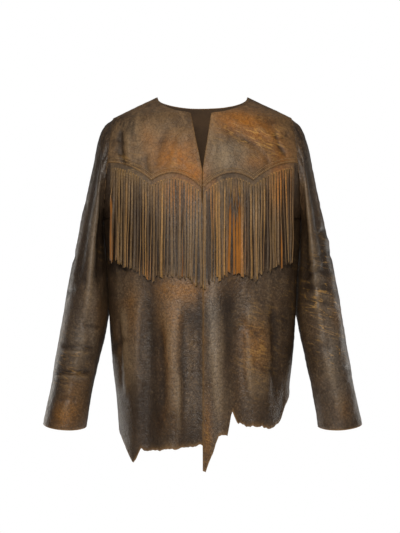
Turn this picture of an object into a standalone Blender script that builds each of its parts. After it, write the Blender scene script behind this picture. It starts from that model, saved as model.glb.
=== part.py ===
"""Collarless western jacket in distressed brown leather, filled out as if worn.

The front faces -Y, the wearer's left is +X and Z is up. The origin lies between the
shoulders, level with the upper chest. Lengths are in metres.
Every panel is a leather wall worked out from one surface for the front and one for the
back, and from rings for the sleeves.
"""
import bmesh
import bpy
from math import acos, asin, cos, degrees, exp, pi, radians, sin, sqrt
from mathutils import Vector

# Leather
BODY_WALL = 0.0015
YOKE_WALL = 0.0012
FRINGE_WALL = 0.0012
SEAM_HALF_GAP = 0.0002
UNDERARM_EASE = 0.45
LAY_GAP = 0.0003

# Armhole ring, an ellipse between the shoulder tip and the underarm
TIP_X = 0.185
TIP_Z = -0.015
UNDERARM_X = 0.206
UNDERARM_Z = -0.226
ARMHOLE_DEPTH = 0.066

# Neck
NECK_X = 0.094
NECK_Z = 0.029
BACK_NECK_Z = 0.015
CORNER_Z = -0.012
SLIT_Z = -0.131
LEFT_CORNER_X = 0.018
RIGHT_CORNER_X = -0.024
RIGHT_EDGE_GAP = 0.0008

# The left front laps over the right one
LAP = 0.006
LAP_LIFT = BODY_WALL + 0.0010
LAP_START_Z = -0.190
LAP_FADE_Z = -0.215
LAP_FLAT_X = 0.010
LAP_FADE_X = 0.034
LAP_RISE = 0.040

# Yoke edge: two arches on each front, meeting at a point
YOKE_CENTRE_Z = -0.168
YOKE_POINT_X = 0.103
YOKE_POINT_Z = -0.151
YOKE_ARMHOLE_Z = -0.113
INNER_ARCH = 0.023
OUTER_ARCH = 0.011

# Fringe
HEADER_HEIGHT = 0.013
HEADER_TOP_GAP = 0.0010
STRANDS_PER_SIDE = 33
STRAND_WIDTH = 0.0042
STRAND_LAY = 0.0011
STRAND_LENGTH = 0.204
STRAND_SEGMENTS = 3
STRAND_START_X = 0.0022
STRAND_REACH_X = 0.187
STRAND_SAMPLES = 400
STRAND_RAGGED = 0.004
STRAND_STANDOFF = 0.0008
STRAND_SWAY = 0.0006
HANG_SAMPLES = 12
SLOPE_STEP = 0.004

# Grid sizes of the walls
FRONT_COLUMNS = 22
BACK_HALF_COLUMNS = 19
SKIRT_ROWS = 10
SLEEVE_SIDES = 24
SLEEVE_ROWS = 19

# Torso, by height: z, half width at the side seam, depth of the front and of the back
TORSO_COLUMNS = ("z", "half_width", "front_depth", "back_depth")
TORSO = (
    (-0.760, 0.169, 0.110, 0.106),
    (-0.681, 0.174, 0.111, 0.106),
    (-0.599, 0.180, 0.111, 0.105),
    (-0.517, 0.189, 0.110, 0.101),
    (-0.445, 0.1945, 0.110, 0.099),
    (-0.350, 0.199, 0.114, 0.105),
    (-0.291, 0.203, 0.117, 0.111),
    (-0.240, 0.2062, 0.119, 0.115),
    (-0.226, 0.206, 0.119, 0.116),
    (-0.131, 0.206, 0.108, 0.117),
    (-0.060, 0.206, 0.092, 0.107),
    (-0.012, 0.206, 0.076, 0.091),
    (0.007, 0.206, 0.052, 0.079),
    (0.031, 0.206, 0.026, 0.058),
)

# How much of a quarter turn a row of the torso makes, by height
TURN_COLUMNS = ("z", "turn")
TURN = (
    (-0.760, 90.0),
    (-0.226, 90.0),
    (-0.180, 62.0),
    (-0.120, 56.0),
    (-0.060, 60.0),
    (-0.015, 90.0),
    (0.031, 90.0),
)

# Sleeve rings: the outer and the inner edge seen from the front, half depth, middle
SLEEVE_COLUMNS = ("outer_x", "outer_z", "inner_x", "inner_z", "half_depth", "middle_y", "wrap")
SLEEVE = (
    (0.185, -0.015, 0.2060, -0.226, 0.066, 0.000, 0.000),
    (0.206, -0.034, 0.2082, -0.238, 0.069, 0.001, 0.002),
    (0.220, -0.070, 0.2073, -0.256, 0.071, 0.003, 0.006),
    (0.230, -0.118, 0.2060, -0.278, 0.072, 0.005, 0.007),
    (0.243, -0.178, 0.2042, -0.305, 0.072, 0.006, 0.007),
    (0.257, -0.242, 0.2016, -0.340, 0.071, 0.006, 0.007),
    (0.271, -0.310, 0.1995, -0.380, 0.069, 0.004, 0.007),
    (0.284, -0.378, 0.1985, -0.422, 0.066, 0.000, 0.006),
    (0.294, -0.440, 0.2040, -0.467, 0.062, -0.005, 0.002),
    (0.303, -0.500, 0.2150, -0.516, 0.058, -0.011, 0.000),
    (0.313, -0.560, 0.2260, -0.568, 0.054, -0.017, 0.000),
    (0.323, -0.612, 0.2350, -0.618, 0.051, -0.022, 0.000),
    (0.331, -0.650, 0.2400, -0.657, 0.049, -0.025, 0.000),
)
# The back of a sleeve lies a little way round the body's side, in degrees from the outer edge
WRAP_ANGLE = 222.0
WRAP_SPREAD = 26.0
CUFF_DIP = 0.005
CUFF_DIP_START = 10.5

# Raw lower edge of the hide across both fronts, from the wearer's right to the left
HEM_COLUMNS = ("x", "z")
FRONT_HEM = (
    (-0.180, -0.655),
    (-0.163, -0.690),
    (-0.146, -0.728),
    (-0.128, -0.697),
    (-0.112, -0.700),
    (-0.066, -0.692),
    (-0.009, -0.686),
    (-0.002, -0.688),
    (0.002, -0.736),
    (0.022, -0.698),
    (0.032, -0.664),
    (0.050, -0.664),
    (0.057, -0.616),
    (0.072, -0.642),
    (0.095, -0.650),
    (0.122, -0.650),
    (0.139, -0.658),
    (0.158, -0.642),
    (0.172, -0.600),
    (0.180, -0.590),
)
BACK_HEM = (
    (-0.180, -0.655),
    (-0.140, -0.640),
    (-0.090, -0.651),
    (-0.050, -0.634),
    (0.000, -0.642),
    (0.060, -0.628),
    (0.100, -0.640),
    (0.150, -0.622),
    (0.180, -0.590),
)

# Large soft folds: place at the top and at the hem, half width, height, top of the fold
FOLD_COLUMNS = ("top_x", "hem_x", "half_width", "height", "top_z")
FRONT_FOLDS = (
    (-0.134, -0.140, 0.022, 0.008, -0.330),
    (-0.104, -0.108, 0.018, -0.009, -0.340),
    (-0.058, -0.062, 0.026, 0.010, -0.330),
    (-0.012, -0.014, 0.020, -0.005, -0.380),
    (0.024, 0.044, 0.022, 0.009, -0.300),
    (0.062, 0.080, 0.022, -0.007, -0.330),
    (0.116, 0.122, 0.030, 0.006, -0.330),
    (0.160, 0.160, 0.020, -0.006, -0.360),
)
BACK_FOLDS = (
    (-0.130, -0.136, 0.026, 0.009, -0.300),
    (-0.084, -0.096, 0.022, -0.007, -0.320),
    (-0.040, -0.052, 0.026, 0.009, -0.280),
    (0.004, 0.000, 0.022, -0.007, -0.300),
    (0.050, 0.058, 0.028, 0.010, -0.290),
    (0.098, 0.104, 0.022, -0.008, -0.340),
    (0.144, 0.146, 0.024, 0.007, -0.320),
)
FOLD_FADE = 0.130
FOLD_HEM_Z = -0.700
SIDE_FADE_SHARE = 0.08

# The armhole's middle, its lean and half height, and the direction across it
ARMHOLE_MIDDLE_X = (TIP_X + UNDERARM_X) / 2
ARMHOLE_MIDDLE_Z = (TIP_Z + UNDERARM_Z) / 2
ARMHOLE_LEAN = (TIP_X - UNDERARM_X) / 2
ARMHOLE_HALF = (TIP_Z - UNDERARM_Z) / 2
ARMHOLE_AXIS = Vector((ARMHOLE_HALF, 0.0, -ARMHOLE_LEAN)).normalized()


def armhole_share(z):
    """Share of the way up the armhole, from the underarm, that a height lies at."""
    return 1.0 - acos((z - ARMHOLE_MIDDLE_Z) / ARMHOLE_HALF) / pi


# Rows above the underarm: height at the front edge, share along the neckline,
# share along the armhole, and how closely the row follows the yoke edge
HEADER_Z = YOKE_CENTRE_Z - HEADER_HEIGHT
UPPER_COLUMNS = ("edge_z", "neckline", "armhole", "yoke_share")
UPPER_ROWS = (
    (UNDERARM_Z, 0.00, 0.00, 0.0),
    (-0.204, 0.00, 0.24, 0.4),
    (HEADER_Z, 0.00, armhole_share(YOKE_ARMHOLE_Z - HEADER_HEIGHT), 1.0),
    (YOKE_CENTRE_Z, 0.00, armhole_share(YOKE_ARMHOLE_Z), 1.0),
    (SLIT_Z, 0.00, 0.62, 0.5),
    (-0.072, 0.00, 0.71, 0.0),
    (CORNER_Z, 0.00, 0.79, 0.0),
    (CORNER_Z, 0.40, 0.86, 0.0),
    (CORNER_Z, 0.75, 0.93, 0.0),
    (CORNER_Z, 1.00, 1.00, 0.0),
)
YOKE_ROW = 3
BACK_ROW_SHARES = (0.0, 0.16, 0.32, 0.48, 0.62, 0.74, 0.85, 0.93, 1.0)
BACK_CENTRE_ROWS = 4
FRONT_HEM_Z = -0.680
BACK_HEM_Z = -0.640
HEM_EDGE_X = 0.002

# Colours, linear: leather outside, yoke, fringe
BROWN = (0.070, 0.042, 0.026, 1.0)
TAN = (0.120, 0.062, 0.028, 1.0)
STRAND_TAN = (0.170, 0.110, 0.055, 1.0)
LEATHER_ROUGHNESS = 0.55


def blend(start, end, share):
    return start + (end - start) * share


def ease(share):
    share = min(max(share, 0.0), 1.0)
    return share * share * (3.0 - 2.0 * share)


def read_table(table, columns, key, name, value):
    """Value of a named column at a place along the key column, on straight stretches."""
    key_at = columns.index(key)
    name_at = columns.index(name)
    if value <= table[0][key_at]:
        return table[0][name_at]
    for low, high in zip(table, table[1:]):
        if value <= high[key_at]:
            share = (value - low[key_at]) / (high[key_at] - low[key_at])
            return blend(low[name_at], high[name_at], share)
    return table[-1][name_at]


def smooth_row(table, name_at, place):
    """Catmull-Rom value of one column at a place between the rows of a table."""
    last = len(table) - 1
    index = min(int(place), last - 1)
    share = place - index
    before = table[max(index - 1, 0)][name_at]
    start = table[index][name_at]
    end = table[index + 1][name_at]
    after = table[min(index + 2, last)][name_at]
    slope_start = (end - before) * 0.5
    slope_end = (after - start) * 0.5
    cube = share ** 3
    square = share ** 2
    return (
        (2 * cube - 3 * square + 1) * start
        + (cube - 2 * square + share) * slope_start
        + (3 * square - 2 * cube) * end
        + (cube - square) * slope_end
    )


def torso(name, z):
    """A torso measure at a height, on a smooth curve through the table's rows."""
    for index, (low, high) in enumerate(zip(TORSO, TORSO[1:])):
        if z <= high[0]:
            share = min(max((z - low[0]) / (high[0] - low[0]), 0.0), 1.0)
            return smooth_row(TORSO, TORSO_COLUMNS.index(name), index + share)
    return TORSO[-1][TORSO_COLUMNS.index(name)]


def armhole_point(share, facing):
    """Point of the armhole from the underarm, 0, to the shoulder tip, 1."""
    angle = pi * (1.0 - share)
    return Vector((
        ARMHOLE_MIDDLE_X + ARMHOLE_LEAN * cos(angle),
        facing * ARMHOLE_DEPTH * sin(angle),
        ARMHOLE_MIDDLE_Z + ARMHOLE_HALF * cos(angle),
    ))


def side_edge(z):
    """x and depth of a torso surface's outer boundary: side seam, armhole or shoulder seam."""
    if z <= UNDERARM_Z:
        return torso("half_width", z), 0.0
    if z <= TIP_Z:
        rise = (z - ARMHOLE_MIDDLE_Z) / ARMHOLE_HALF
        x = ARMHOLE_MIDDLE_X + ARMHOLE_LEAN * rise
        return x, ARMHOLE_DEPTH * sqrt(max(1.0 - rise * rise, 0.0))
    share = (z - TIP_Z) / (NECK_Z - TIP_Z)
    return blend(TIP_X, NECK_X, min(share, 1.0)), 0.0


def surface_depth(depth_name, x, z):
    """Depth of a torso surface from the side-to-side plane, before its folds."""
    edge_x, edge_depth = side_edge(z)
    middle_depth = torso(depth_name, z)
    turn = radians(read_table(TURN, TURN_COLUMNS, "z", "turn", z))
    ratio = min(abs(x) / edge_x, 1.0)
    angle = asin(min(ratio * sin(turn), 1.0))
    fall = (1.0 - cos(angle)) / (1.0 - cos(turn))
    return blend(middle_depth, edge_depth, fall)


def fold_height(folds, x, z):
    """Height of the soft folds at a place, growing from their tops down to the hem."""
    total = 0.0
    for values in folds:
        fold = dict(zip(FOLD_COLUMNS, values))
        drop = fold["top_z"] - z
        if drop > 0.0:
            run = min(drop / (fold["top_z"] - FOLD_HEM_Z), 1.0)
            across = (x - blend(fold["top_x"], fold["hem_x"], run)) / fold["half_width"]
            total += fold["height"] * ease(drop / FOLD_FADE) * exp(-across * across)
    return total


def lap_lift(x, z):
    """The left front stands proud of the right front where it laps over it."""
    across = 1.0 - ease((x - LAP_FLAT_X) / (LAP_FADE_X - LAP_FLAT_X))
    return LAP_LIFT * across * ease((SLIT_Z - z) / LAP_RISE)


def front_point(side, x, z):
    """Point of the front's outer surface; side is 1 for the wearer's left, -1 for the right."""
    depth = surface_depth("front_depth", x, z)
    edge_x = side_edge(z)[0]
    side_fade = ease((1.0 - abs(x) / edge_x) / SIDE_FADE_SHARE)
    lift = fold_height(FRONT_FOLDS, x, z) * side_fade
    if side > 0:
        lift += lap_lift(x, z)
    return Vector((x, -depth - lift, z))


def back_point(x, z):
    depth = surface_depth("back_depth", x, z)
    edge_x = side_edge(z)[0]
    side_fade = ease((1.0 - abs(x) / edge_x) / SIDE_FADE_SHARE)
    return Vector((x, depth + fold_height(BACK_FOLDS, x, z) * side_fade, z))


def yoke_edge_z(x):
    """Height of the scalloped yoke edge at a distance from the centre front."""
    x = abs(x)
    if x <= YOKE_POINT_X:
        share = x / YOKE_POINT_X
        line = blend(YOKE_CENTRE_Z, YOKE_POINT_Z, share)
        return line + INNER_ARCH * (1.0 - (2.0 * share - 1.0) ** 2)
    reach = side_edge(YOKE_ARMHOLE_Z)[0]
    share = (x - YOKE_POINT_X) / (reach - YOKE_POINT_X)
    line = blend(YOKE_POINT_Z, YOKE_ARMHOLE_Z, share)
    return line + OUTER_ARCH * (1.0 - (2.0 * share - 1.0) ** 2)


def front_edge_x(side, z):
    """Inner edge of a front: closed at the centre, open in a slit above it."""
    slit_share = max((z - SLIT_Z) / (CORNER_Z - SLIT_Z), 0.0)
    if side > 0:
        return blend(SEAM_HALF_GAP, LEFT_CORNER_X, slit_share)
    lap_share = ease((LAP_START_Z - z) / (LAP_START_Z - LAP_FADE_Z))
    return blend(-RIGHT_EDGE_GAP, RIGHT_CORNER_X, slit_share) + LAP * lap_share


def neckline_point(side, share, low_z, low_x):
    """x and z on the neckline from its low end, 0, to the neck point, 1."""
    start = asin(abs(low_x) / NECK_X)
    angle = blend(start, pi / 2, share)
    scale = (1.0 - cos(angle) - (1.0 - cos(start))) / cos(start)
    return side * NECK_X * sin(angle), blend(low_z, NECK_Z, scale)


def mirrored_y(point):
    return Vector((point.x, -point.y, point.z))


def surface_normals(rows, seam_rows):
    """Outward normals of a grid; ghost points across y = 0 keep seams smooth."""
    last_row = len(rows) - 1
    last = len(rows[0]) - 1
    normals = []
    for i, row in enumerate(rows):
        line = []
        for j, point in enumerate(row):
            left = row[max(j - 1, 0)]
            right = row[min(j + 1, last)]
            if j == last and i <= seam_rows:
                right = mirrored_y(row[j - 1])
            below = rows[max(i - 1, 0)][j]
            above = rows[min(i + 1, last_row)][j]
            if i == last_row:
                above = mirrored_y(rows[i - 1][j])
            line.append((right - left).cross(above - below).normalized())
        normals.append(line)
    return normals


def flip_to(normals, toward):
    """Turn a grid's normals so that the first one points to a direction."""
    if normals[0][0].dot(toward) < 0:
        return [[-normal for normal in line] for line in normals]
    return normals


def ring_normal(share, facing, side):
    """Direction in the armhole's plane, away from its middle."""
    angle = pi * (1.0 - share)
    radial = armhole_point(share, facing) - Vector((ARMHOLE_MIDDLE_X, 0.0, ARMHOLE_MIDDLE_Z))
    tangent = Vector((
        -ARMHOLE_LEAN * sin(angle),
        facing * ARMHOLE_DEPTH * cos(angle),
        -ARMHOLE_HALF * sin(angle),
    ))
    normal = radial - tangent * (radial.dot(tangent) / tangent.length_squared)
    normal.normalize()
    return Vector((side * normal.x, normal.y, normal.z))


def set_armhole_normals(normals, shares, first_row, facing, side):
    """Seam walls lie in the armhole's plane, and ease to the panel's own at the underarm."""
    for step, share in enumerate(shares):
        line = normals[first_row + step]
        weight = ease(share / UNDERARM_EASE)
        line[-1] = line[-1].lerp(ring_normal(share, facing, side), weight).normalized()


def moved(rows, normals, distance):
    return [
        [point + normal * distance for point, normal in zip(row, line)]
        for row, line in zip(rows, normals)
    ]


def add_quad(model, *corners):
    model.faces.new(corners)


def model_object(name, model, material):
    """Turn a closed model's faces out and make it an object with its material."""
    bmesh.ops.recalc_face_normals(model, faces=model.faces)
    if model.calc_volume(signed=True) < 0:
        bmesh.ops.reverse_faces(model, faces=model.faces)
    mesh = bpy.data.meshes.new(name)
    model.to_mesh(mesh)
    model.free()
    mesh.shade_smooth()
    mesh.set_sharp_from_angle(angle=radians(40))
    mesh.materials.append(material)
    collection.objects.link(bpy.data.objects.new(name, mesh))


def wall_object(name, outer, inner, closed, material):
    """A leather wall between an outer and an inner grid of points."""
    model = bmesh.new()
    over = [[model.verts.new(point) for point in row] for row in outer]
    under = [[model.verts.new(point) for point in row] for row in inner]
    last = len(outer) - 1
    count = len(outer[0])
    steps = count if closed else count - 1
    for j in range(steps):
        k = (j + 1) % count
        for i in range(last):
            for grid in (over, under):
                add_quad(model, grid[i][j], grid[i][k], grid[i + 1][k], grid[i + 1][j])
        for i in (0, last):
            add_quad(model, over[i][j], over[i][k], under[i][k], under[i][j])
    if not closed:
        for i in range(last):
            for j in (0, count - 1):
                add_quad(model, over[i][j], over[i + 1][j], under[i + 1][j], under[i][j])
    model_object(name, model, material)


def make_material(name, colour):
    material = bpy.data.materials.new(name)
    material.use_nodes = True
    shader = material.node_tree.nodes["Principled BSDF"]
    shader.inputs["Base Color"].default_value = colour
    shader.inputs["Roughness"].default_value = LEATHER_ROUGHNESS
    return material


def front_grid(side):
    """Outer points of a front: rows from the raw hem to the shoulder, columns to the side."""
    rows = []
    for step in range(SKIRT_ROWS):
        share = step / SKIRT_ROWS
        row = []
        for column in range(FRONT_COLUMNS + 1):
            angle = (pi / 2) * column / FRONT_COLUMNS
            hem_x = side * max(side_edge(FRONT_HEM_Z)[0] * sin(angle), HEM_EDGE_X)
            hem_z = read_table(FRONT_HEM, HEM_COLUMNS, "x", "z", hem_x)
            z = blend(hem_z, UNDERARM_Z, share)
            inner_x = front_edge_x(side, z)
            outer_x = side * side_edge(z)[0]
            row.append(front_point(side, blend(inner_x, outer_x, sin(angle)), z))
        rows.append(row)
    for values in UPPER_ROWS:
        place = dict(zip(UPPER_COLUMNS, values))
        inner_z = place["edge_z"]
        inner_x = front_edge_x(side, inner_z)
        if place["neckline"] > 0.0:
            inner_x, inner_z = neckline_point(side, place["neckline"], CORNER_Z, inner_x)
        seam = armhole_point(place["armhole"], -1)
        turn = radians(read_table(TURN, TURN_COLUMNS, "z", "turn", seam.z))
        row = []
        for column in range(FRONT_COLUMNS + 1):
            share = sin(turn * column / FRONT_COLUMNS) / sin(turn)
            x = blend(inner_x, side * seam.x, share)
            straight = blend(YOKE_CENTRE_Z, YOKE_ARMHOLE_Z, share)
            z = blend(inner_z, seam.z, share) + place["yoke_share"] * (yoke_edge_z(x) - straight)
            row.append(front_point(side, x, z))
        rows.append(row)
    return rows


def open_seams(rows, side, facing, first_upper):
    """Move a grid's seam edges apart from the middle plane and from the armhole."""
    for i, row in enumerate(rows):
        if i <= first_upper:
            row[-1].y = facing * SEAM_HALF_GAP
        if i >= first_upper:
            row[-1].x -= side * ARMHOLE_AXIS.x * SEAM_HALF_GAP
            row[-1].z -= ARMHOLE_AXIS.z * SEAM_HALF_GAP
    for point in rows[-1]:
        point.y = facing * SEAM_HALF_GAP


def front_walls(side, name):
    rows = front_grid(side)
    normals = flip_to(surface_normals(rows, SKIRT_ROWS), Vector((0, -1, 0)))
    shares = [line[2] for line in UPPER_ROWS]
    set_armhole_normals(normals, shares, SKIRT_ROWS, -1, side)
    open_seams(rows, side, -1, SKIRT_ROWS)
    wall_object("front_" + name, rows, moved(rows, normals, -BODY_WALL), False, leather)
    first = SKIRT_ROWS + YOKE_ROW
    yoke_rows = rows[first:]
    yoke_normals = normals[first:]
    under = moved(yoke_rows, yoke_normals, LAY_GAP)
    over = moved(yoke_rows, yoke_normals, LAY_GAP + YOKE_WALL)
    wall_object("yoke_" + name, over, under, False, yoke_leather)


def back_half(side):
    """Outer points of half the back, from the centre back to one side."""
    rows = []
    for step in range(SKIRT_ROWS):
        share = step / SKIRT_ROWS
        row = []
        for column in range(BACK_HALF_COLUMNS + 1):
            across = side * sin((pi / 2) * column / BACK_HALF_COLUMNS)
            hem_x = across * side_edge(BACK_HEM_Z)[0]
            hem_z = read_table(BACK_HEM, HEM_COLUMNS, "x", "z", hem_x)
            z = blend(hem_z, UNDERARM_Z, share)
            row.append(back_point(across * side_edge(z)[0], z))
        rows.append(row)
    neck_start = BACK_ROW_SHARES[BACK_CENTRE_ROWS]
    for share in BACK_ROW_SHARES:
        seam = armhole_point(share, 1)
        turn = radians(read_table(TURN, TURN_COLUMNS, "z", "turn", seam.z))
        inner_x = 0.0
        inner_z = blend(UNDERARM_Z, BACK_NECK_Z, min(share / neck_start, 1.0))
        if share > neck_start:
            along = (share - neck_start) / (1.0 - neck_start)
            inner_x, inner_z = neckline_point(1, along, BACK_NECK_Z, 0.0)
        row = []
        for column in range(BACK_HALF_COLUMNS + 1):
            across = sin(turn * column / BACK_HALF_COLUMNS) / sin(turn)
            row.append(back_point(side * blend(inner_x, seam.x, across), blend(inner_z, seam.z, across)))
        rows.append(row)
    return rows


def back_halves():
    """Points and normals of both halves, with shared normals down the centre back."""
    halves = {}
    for side in (1, -1):
        rows = back_half(side)
        normals = flip_to(surface_normals(rows, SKIRT_ROWS), Vector((0, 1, 0)))
        halves[side] = (rows, normals)
    for i in range(SKIRT_ROWS + BACK_CENTRE_ROWS + 1):
        shared = (halves[1][1][i][0] + halves[-1][1][i][0]).normalized()
        halves[1][1][i][0] = shared
        halves[-1][1][i][0] = shared
    for side, (rows, normals) in halves.items():
        set_armhole_normals(normals, BACK_ROW_SHARES, SKIRT_ROWS, 1, side)
        open_seams(rows, side, 1, SKIRT_ROWS)
    return halves


def back_wall():
    """One closed wall from both halves of the back, welded along the centre back."""
    model = bmesh.new()
    for rows, normals in back_halves().values():
        inner = moved(rows, normals, -BODY_WALL)
        over = [[model.verts.new(point) for point in row] for row in rows]
        under = [[model.verts.new(point) for point in row] for row in inner]
        last = len(rows) - 1
        end = len(rows[0]) - 1
        for i in range(last):
            for j in range(end):
                for grid in (over, under):
                    add_quad(model, grid[i][j], grid[i][j + 1], grid[i + 1][j + 1], grid[i + 1][j])
            add_quad(model, over[i][end], over[i + 1][end], under[i + 1][end], under[i][end])
            if i >= SKIRT_ROWS + BACK_CENTRE_ROWS:
                add_quad(model, over[i][0], over[i + 1][0], under[i + 1][0], under[i][0])
        for j in range(end):
            for i in (0, last):
                add_quad(model, over[i][j], over[i][j + 1], under[i][j + 1], under[i][j])
    bmesh.ops.remove_doubles(model, verts=model.verts, dist=0.00002)
    model_object("back", model, leather)


def sleeve_value(name, place):
    return smooth_row(SLEEVE, SLEEVE_COLUMNS.index(name), place)


def sleeve_wall(side, name):
    """A tube through the sleeve's rings, from the armhole to the cuff."""
    outer = []
    inner = []
    for step in range(SLEEVE_ROWS + 1):
        place = (len(SLEEVE) - 1) * step / SLEEVE_ROWS
        top = Vector((sleeve_value("outer_x", place), 0, sleeve_value("outer_z", place)))
        low = Vector((sleeve_value("inner_x", place), 0, sleeve_value("inner_z", place)))
        middle = (top + low) / 2
        middle.y = sleeve_value("middle_y", place)
        half = (top - low) / 2
        depth = sleeve_value("half_depth", place)
        wrap = sleeve_value("wrap", place)
        dip = CUFF_DIP * ease((place - CUFF_DIP_START) / (len(SLEEVE) - 1 - CUFF_DIP_START))
        outer_row = []
        inner_row = []
        for index in range(SLEEVE_SIDES):
            angle = 2 * pi * index / SLEEVE_SIDES
            point = middle + half * cos(angle)
            point.y -= depth * sin(angle)
            point.z -= dip * max(sin(angle), 0.0)
            off_wrap = (degrees(angle) - WRAP_ANGLE) / WRAP_SPREAD
            point.x -= wrap * exp(-off_wrap * off_wrap)
            tangent = half * -sin(angle)
            tangent.y = -depth * cos(angle)
            radial = point - middle
            normal = radial - tangent * (radial.dot(tangent) / tangent.length_squared)
            normal.normalize()
            if step == 0:
                point = point + ARMHOLE_AXIS * SEAM_HALF_GAP
            outer_row.append(Vector((side * point.x, point.y, point.z)))
            inside = point - normal * BODY_WALL
            inner_row.append(Vector((side * inside.x, inside.y, inside.z)))
        outer.append(outer_row)
        inner.append(inner_row)
    wall_object("sleeve_" + name, outer, inner, True, leather)


def strand_places(side):
    """Places of the strands along the yoke edge, an even pitch apart on the leather."""
    samples = []
    run = 0.0
    before = None
    for step in range(STRAND_SAMPLES + 1):
        x = side * blend(STRAND_START_X, STRAND_REACH_X, step / STRAND_SAMPLES)
        point = front_point(side, x, yoke_edge_z(x) - HEADER_HEIGHT)
        if before is not None:
            flat = Vector((point.x - before.x, point.y - before.y, 0.0))
            run += flat.length
        samples.append((run, x))
        before = point
    places = []
    for strand in range(STRANDS_PER_SIDE):
        for offset in (-0.5, 0.5):
            target = run * (strand + 0.5) / STRANDS_PER_SIDE + offset * STRAND_WIDTH
            nearest = min(samples, key=lambda sample: abs(sample[0] - target))
            places.append(nearest[1])
    return places


def hanging_depth(side, x, top_z, z):
    """Depth where a strand hangs: clear of the fullest place above it."""
    shares = [step / HANG_SAMPLES for step in range(HANG_SAMPLES + 1)]
    return max(-front_point(side, x, blend(top_z, z, share)).y for share in shares)


def root_normal(side, x):
    """Level direction out of the leather at the strand's root."""
    z = yoke_edge_z(x) - HEADER_HEIGHT
    limit = side_edge(z)[0]
    near = front_point(side, max(x - SLOPE_STEP, -limit), z)
    far = front_point(side, min(x + SLOPE_STEP, limit), z)
    along = Vector((far.x - near.x, far.y - near.y, 0.0)).normalized()
    return Vector((along.y, -along.x, 0.0))


def fringe_rows(side):
    """Outer points of the fringe: two header rows, then the strands' rings."""
    places = strand_places(side)
    sheet = []
    for index, x in enumerate(places):
        strand = index // 2
        middle = (places[2 * strand] + places[2 * strand + 1]) / 2
        normal = root_normal(side, middle)
        top_z = yoke_edge_z(x) - HEADER_TOP_GAP
        low_z = yoke_edge_z(x) - HEADER_HEIGHT
        column = []
        for z in (top_z, low_z):
            column.append((front_point(side, x, z) + normal * STRAND_LAY, normal))
        end_z = yoke_edge_z(middle) - STRAND_LENGTH - STRAND_RAGGED * sin(strand * 2.3 + side)
        root = column[1][0]
        for step in range(1, STRAND_SEGMENTS + 1):
            share = step / STRAND_SEGMENTS
            z = blend(low_z, end_z, share)
            extra = hanging_depth(side, middle, low_z, z) + front_point(side, middle, low_z).y
            sway = STRAND_SWAY * sin(strand * 0.8 + 3.0 * share) * share
            out = STRAND_STANDOFF * (2.0 + sin(strand * 1.7 + side)) * share
            point = Vector((root.x + sway, root.y - max(extra, 0.0), z)) + normal * out
            column.append((point, normal))
        sheet.append(column)
    return sheet


def fringe_wall(side, name):
    """A header strip with strands below it, as one closed body."""
    sheet = fringe_rows(side)
    model = bmesh.new()
    under = []
    over = []
    for column in sheet:
        under.append([model.verts.new(point) for point, normal in column])
        over.append([model.verts.new(point + normal * FRINGE_WALL) for point, normal in column])
    last = len(sheet) - 1
    for index in range(last):
        left, right = index, index + 1
        for grid in (under, over):
            add_quad(model, grid[left][0], grid[left][1], grid[right][1], grid[right][0])
        add_quad(model, under[left][0], under[right][0], over[right][0], over[left][0])
        if index % 2 == 1:
            add_quad(model, under[left][1], under[right][1], over[right][1], over[left][1])
            continue
        for row in range(1, STRAND_SEGMENTS + 1):
            low = row + 1
            for grid in (under, over):
                add_quad(model, grid[left][row], grid[left][low], grid[right][low], grid[right][row])
            for edge in (left, right):
                add_quad(model, under[edge][row], under[edge][low], over[edge][low], over[edge][row])
        end = STRAND_SEGMENTS + 1
        add_quad(model, under[left][end], under[right][end], over[right][end], over[left][end])
    for index in (0, last):
        add_quad(model, under[index][0], under[index][1], over[index][1], over[index][0])
    model_object("fringe_" + name, model, fringe_leather)


for old in list(bpy.data.objects):
    bpy.data.objects.remove(old, do_unlink=True)
collection = bpy.data.collections.new("fringed_leather_jacket")
bpy.context.scene.collection.children.link(collection)
leather = make_material("leather", BROWN)
yoke_leather = make_material("yoke_leather", TAN)
fringe_leather = make_material("fringe_leather", STRAND_TAN)

for side_sign, side_name in ((1, "left"), (-1, "right")):
    front_walls(side_sign, side_name)
    sleeve_wall(side_sign, side_name)
    fringe_wall(side_sign, side_name)
back_wall()
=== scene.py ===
"""Looks of a collarless western jacket in distressed brown leather, worn and hollow.

Lengths are in metres, in the frame of the loaded model: the front faces -Y, the wearer's
left is +X and Z is up. Each leather piece is a thin shell on the form of its solid, with
its creases, seams, raw edges, stitching and a procedural leather.
"""
from math import acos, asin, cos, pi, radians, sin

import bpy
import numpy as np
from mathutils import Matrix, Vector


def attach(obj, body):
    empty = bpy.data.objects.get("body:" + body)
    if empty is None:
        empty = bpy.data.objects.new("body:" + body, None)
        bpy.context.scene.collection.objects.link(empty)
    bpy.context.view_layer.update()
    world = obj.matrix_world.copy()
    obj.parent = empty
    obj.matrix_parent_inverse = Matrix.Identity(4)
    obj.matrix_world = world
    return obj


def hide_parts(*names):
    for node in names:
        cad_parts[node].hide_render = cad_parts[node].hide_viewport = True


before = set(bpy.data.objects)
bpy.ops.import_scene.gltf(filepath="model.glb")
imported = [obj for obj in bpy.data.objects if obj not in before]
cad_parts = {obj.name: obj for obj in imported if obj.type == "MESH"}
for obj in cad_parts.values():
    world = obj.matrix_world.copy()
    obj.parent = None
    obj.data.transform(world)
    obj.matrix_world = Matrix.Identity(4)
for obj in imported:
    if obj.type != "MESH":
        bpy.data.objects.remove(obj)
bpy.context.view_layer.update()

# Leather
BODY_WALL = 0.0015
YOKE_WALL = 0.0012
FRINGE_WALL = 0.0012
SEAM_HALF_GAP = 0.0002
LAY_GAP = 0.0003

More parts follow.
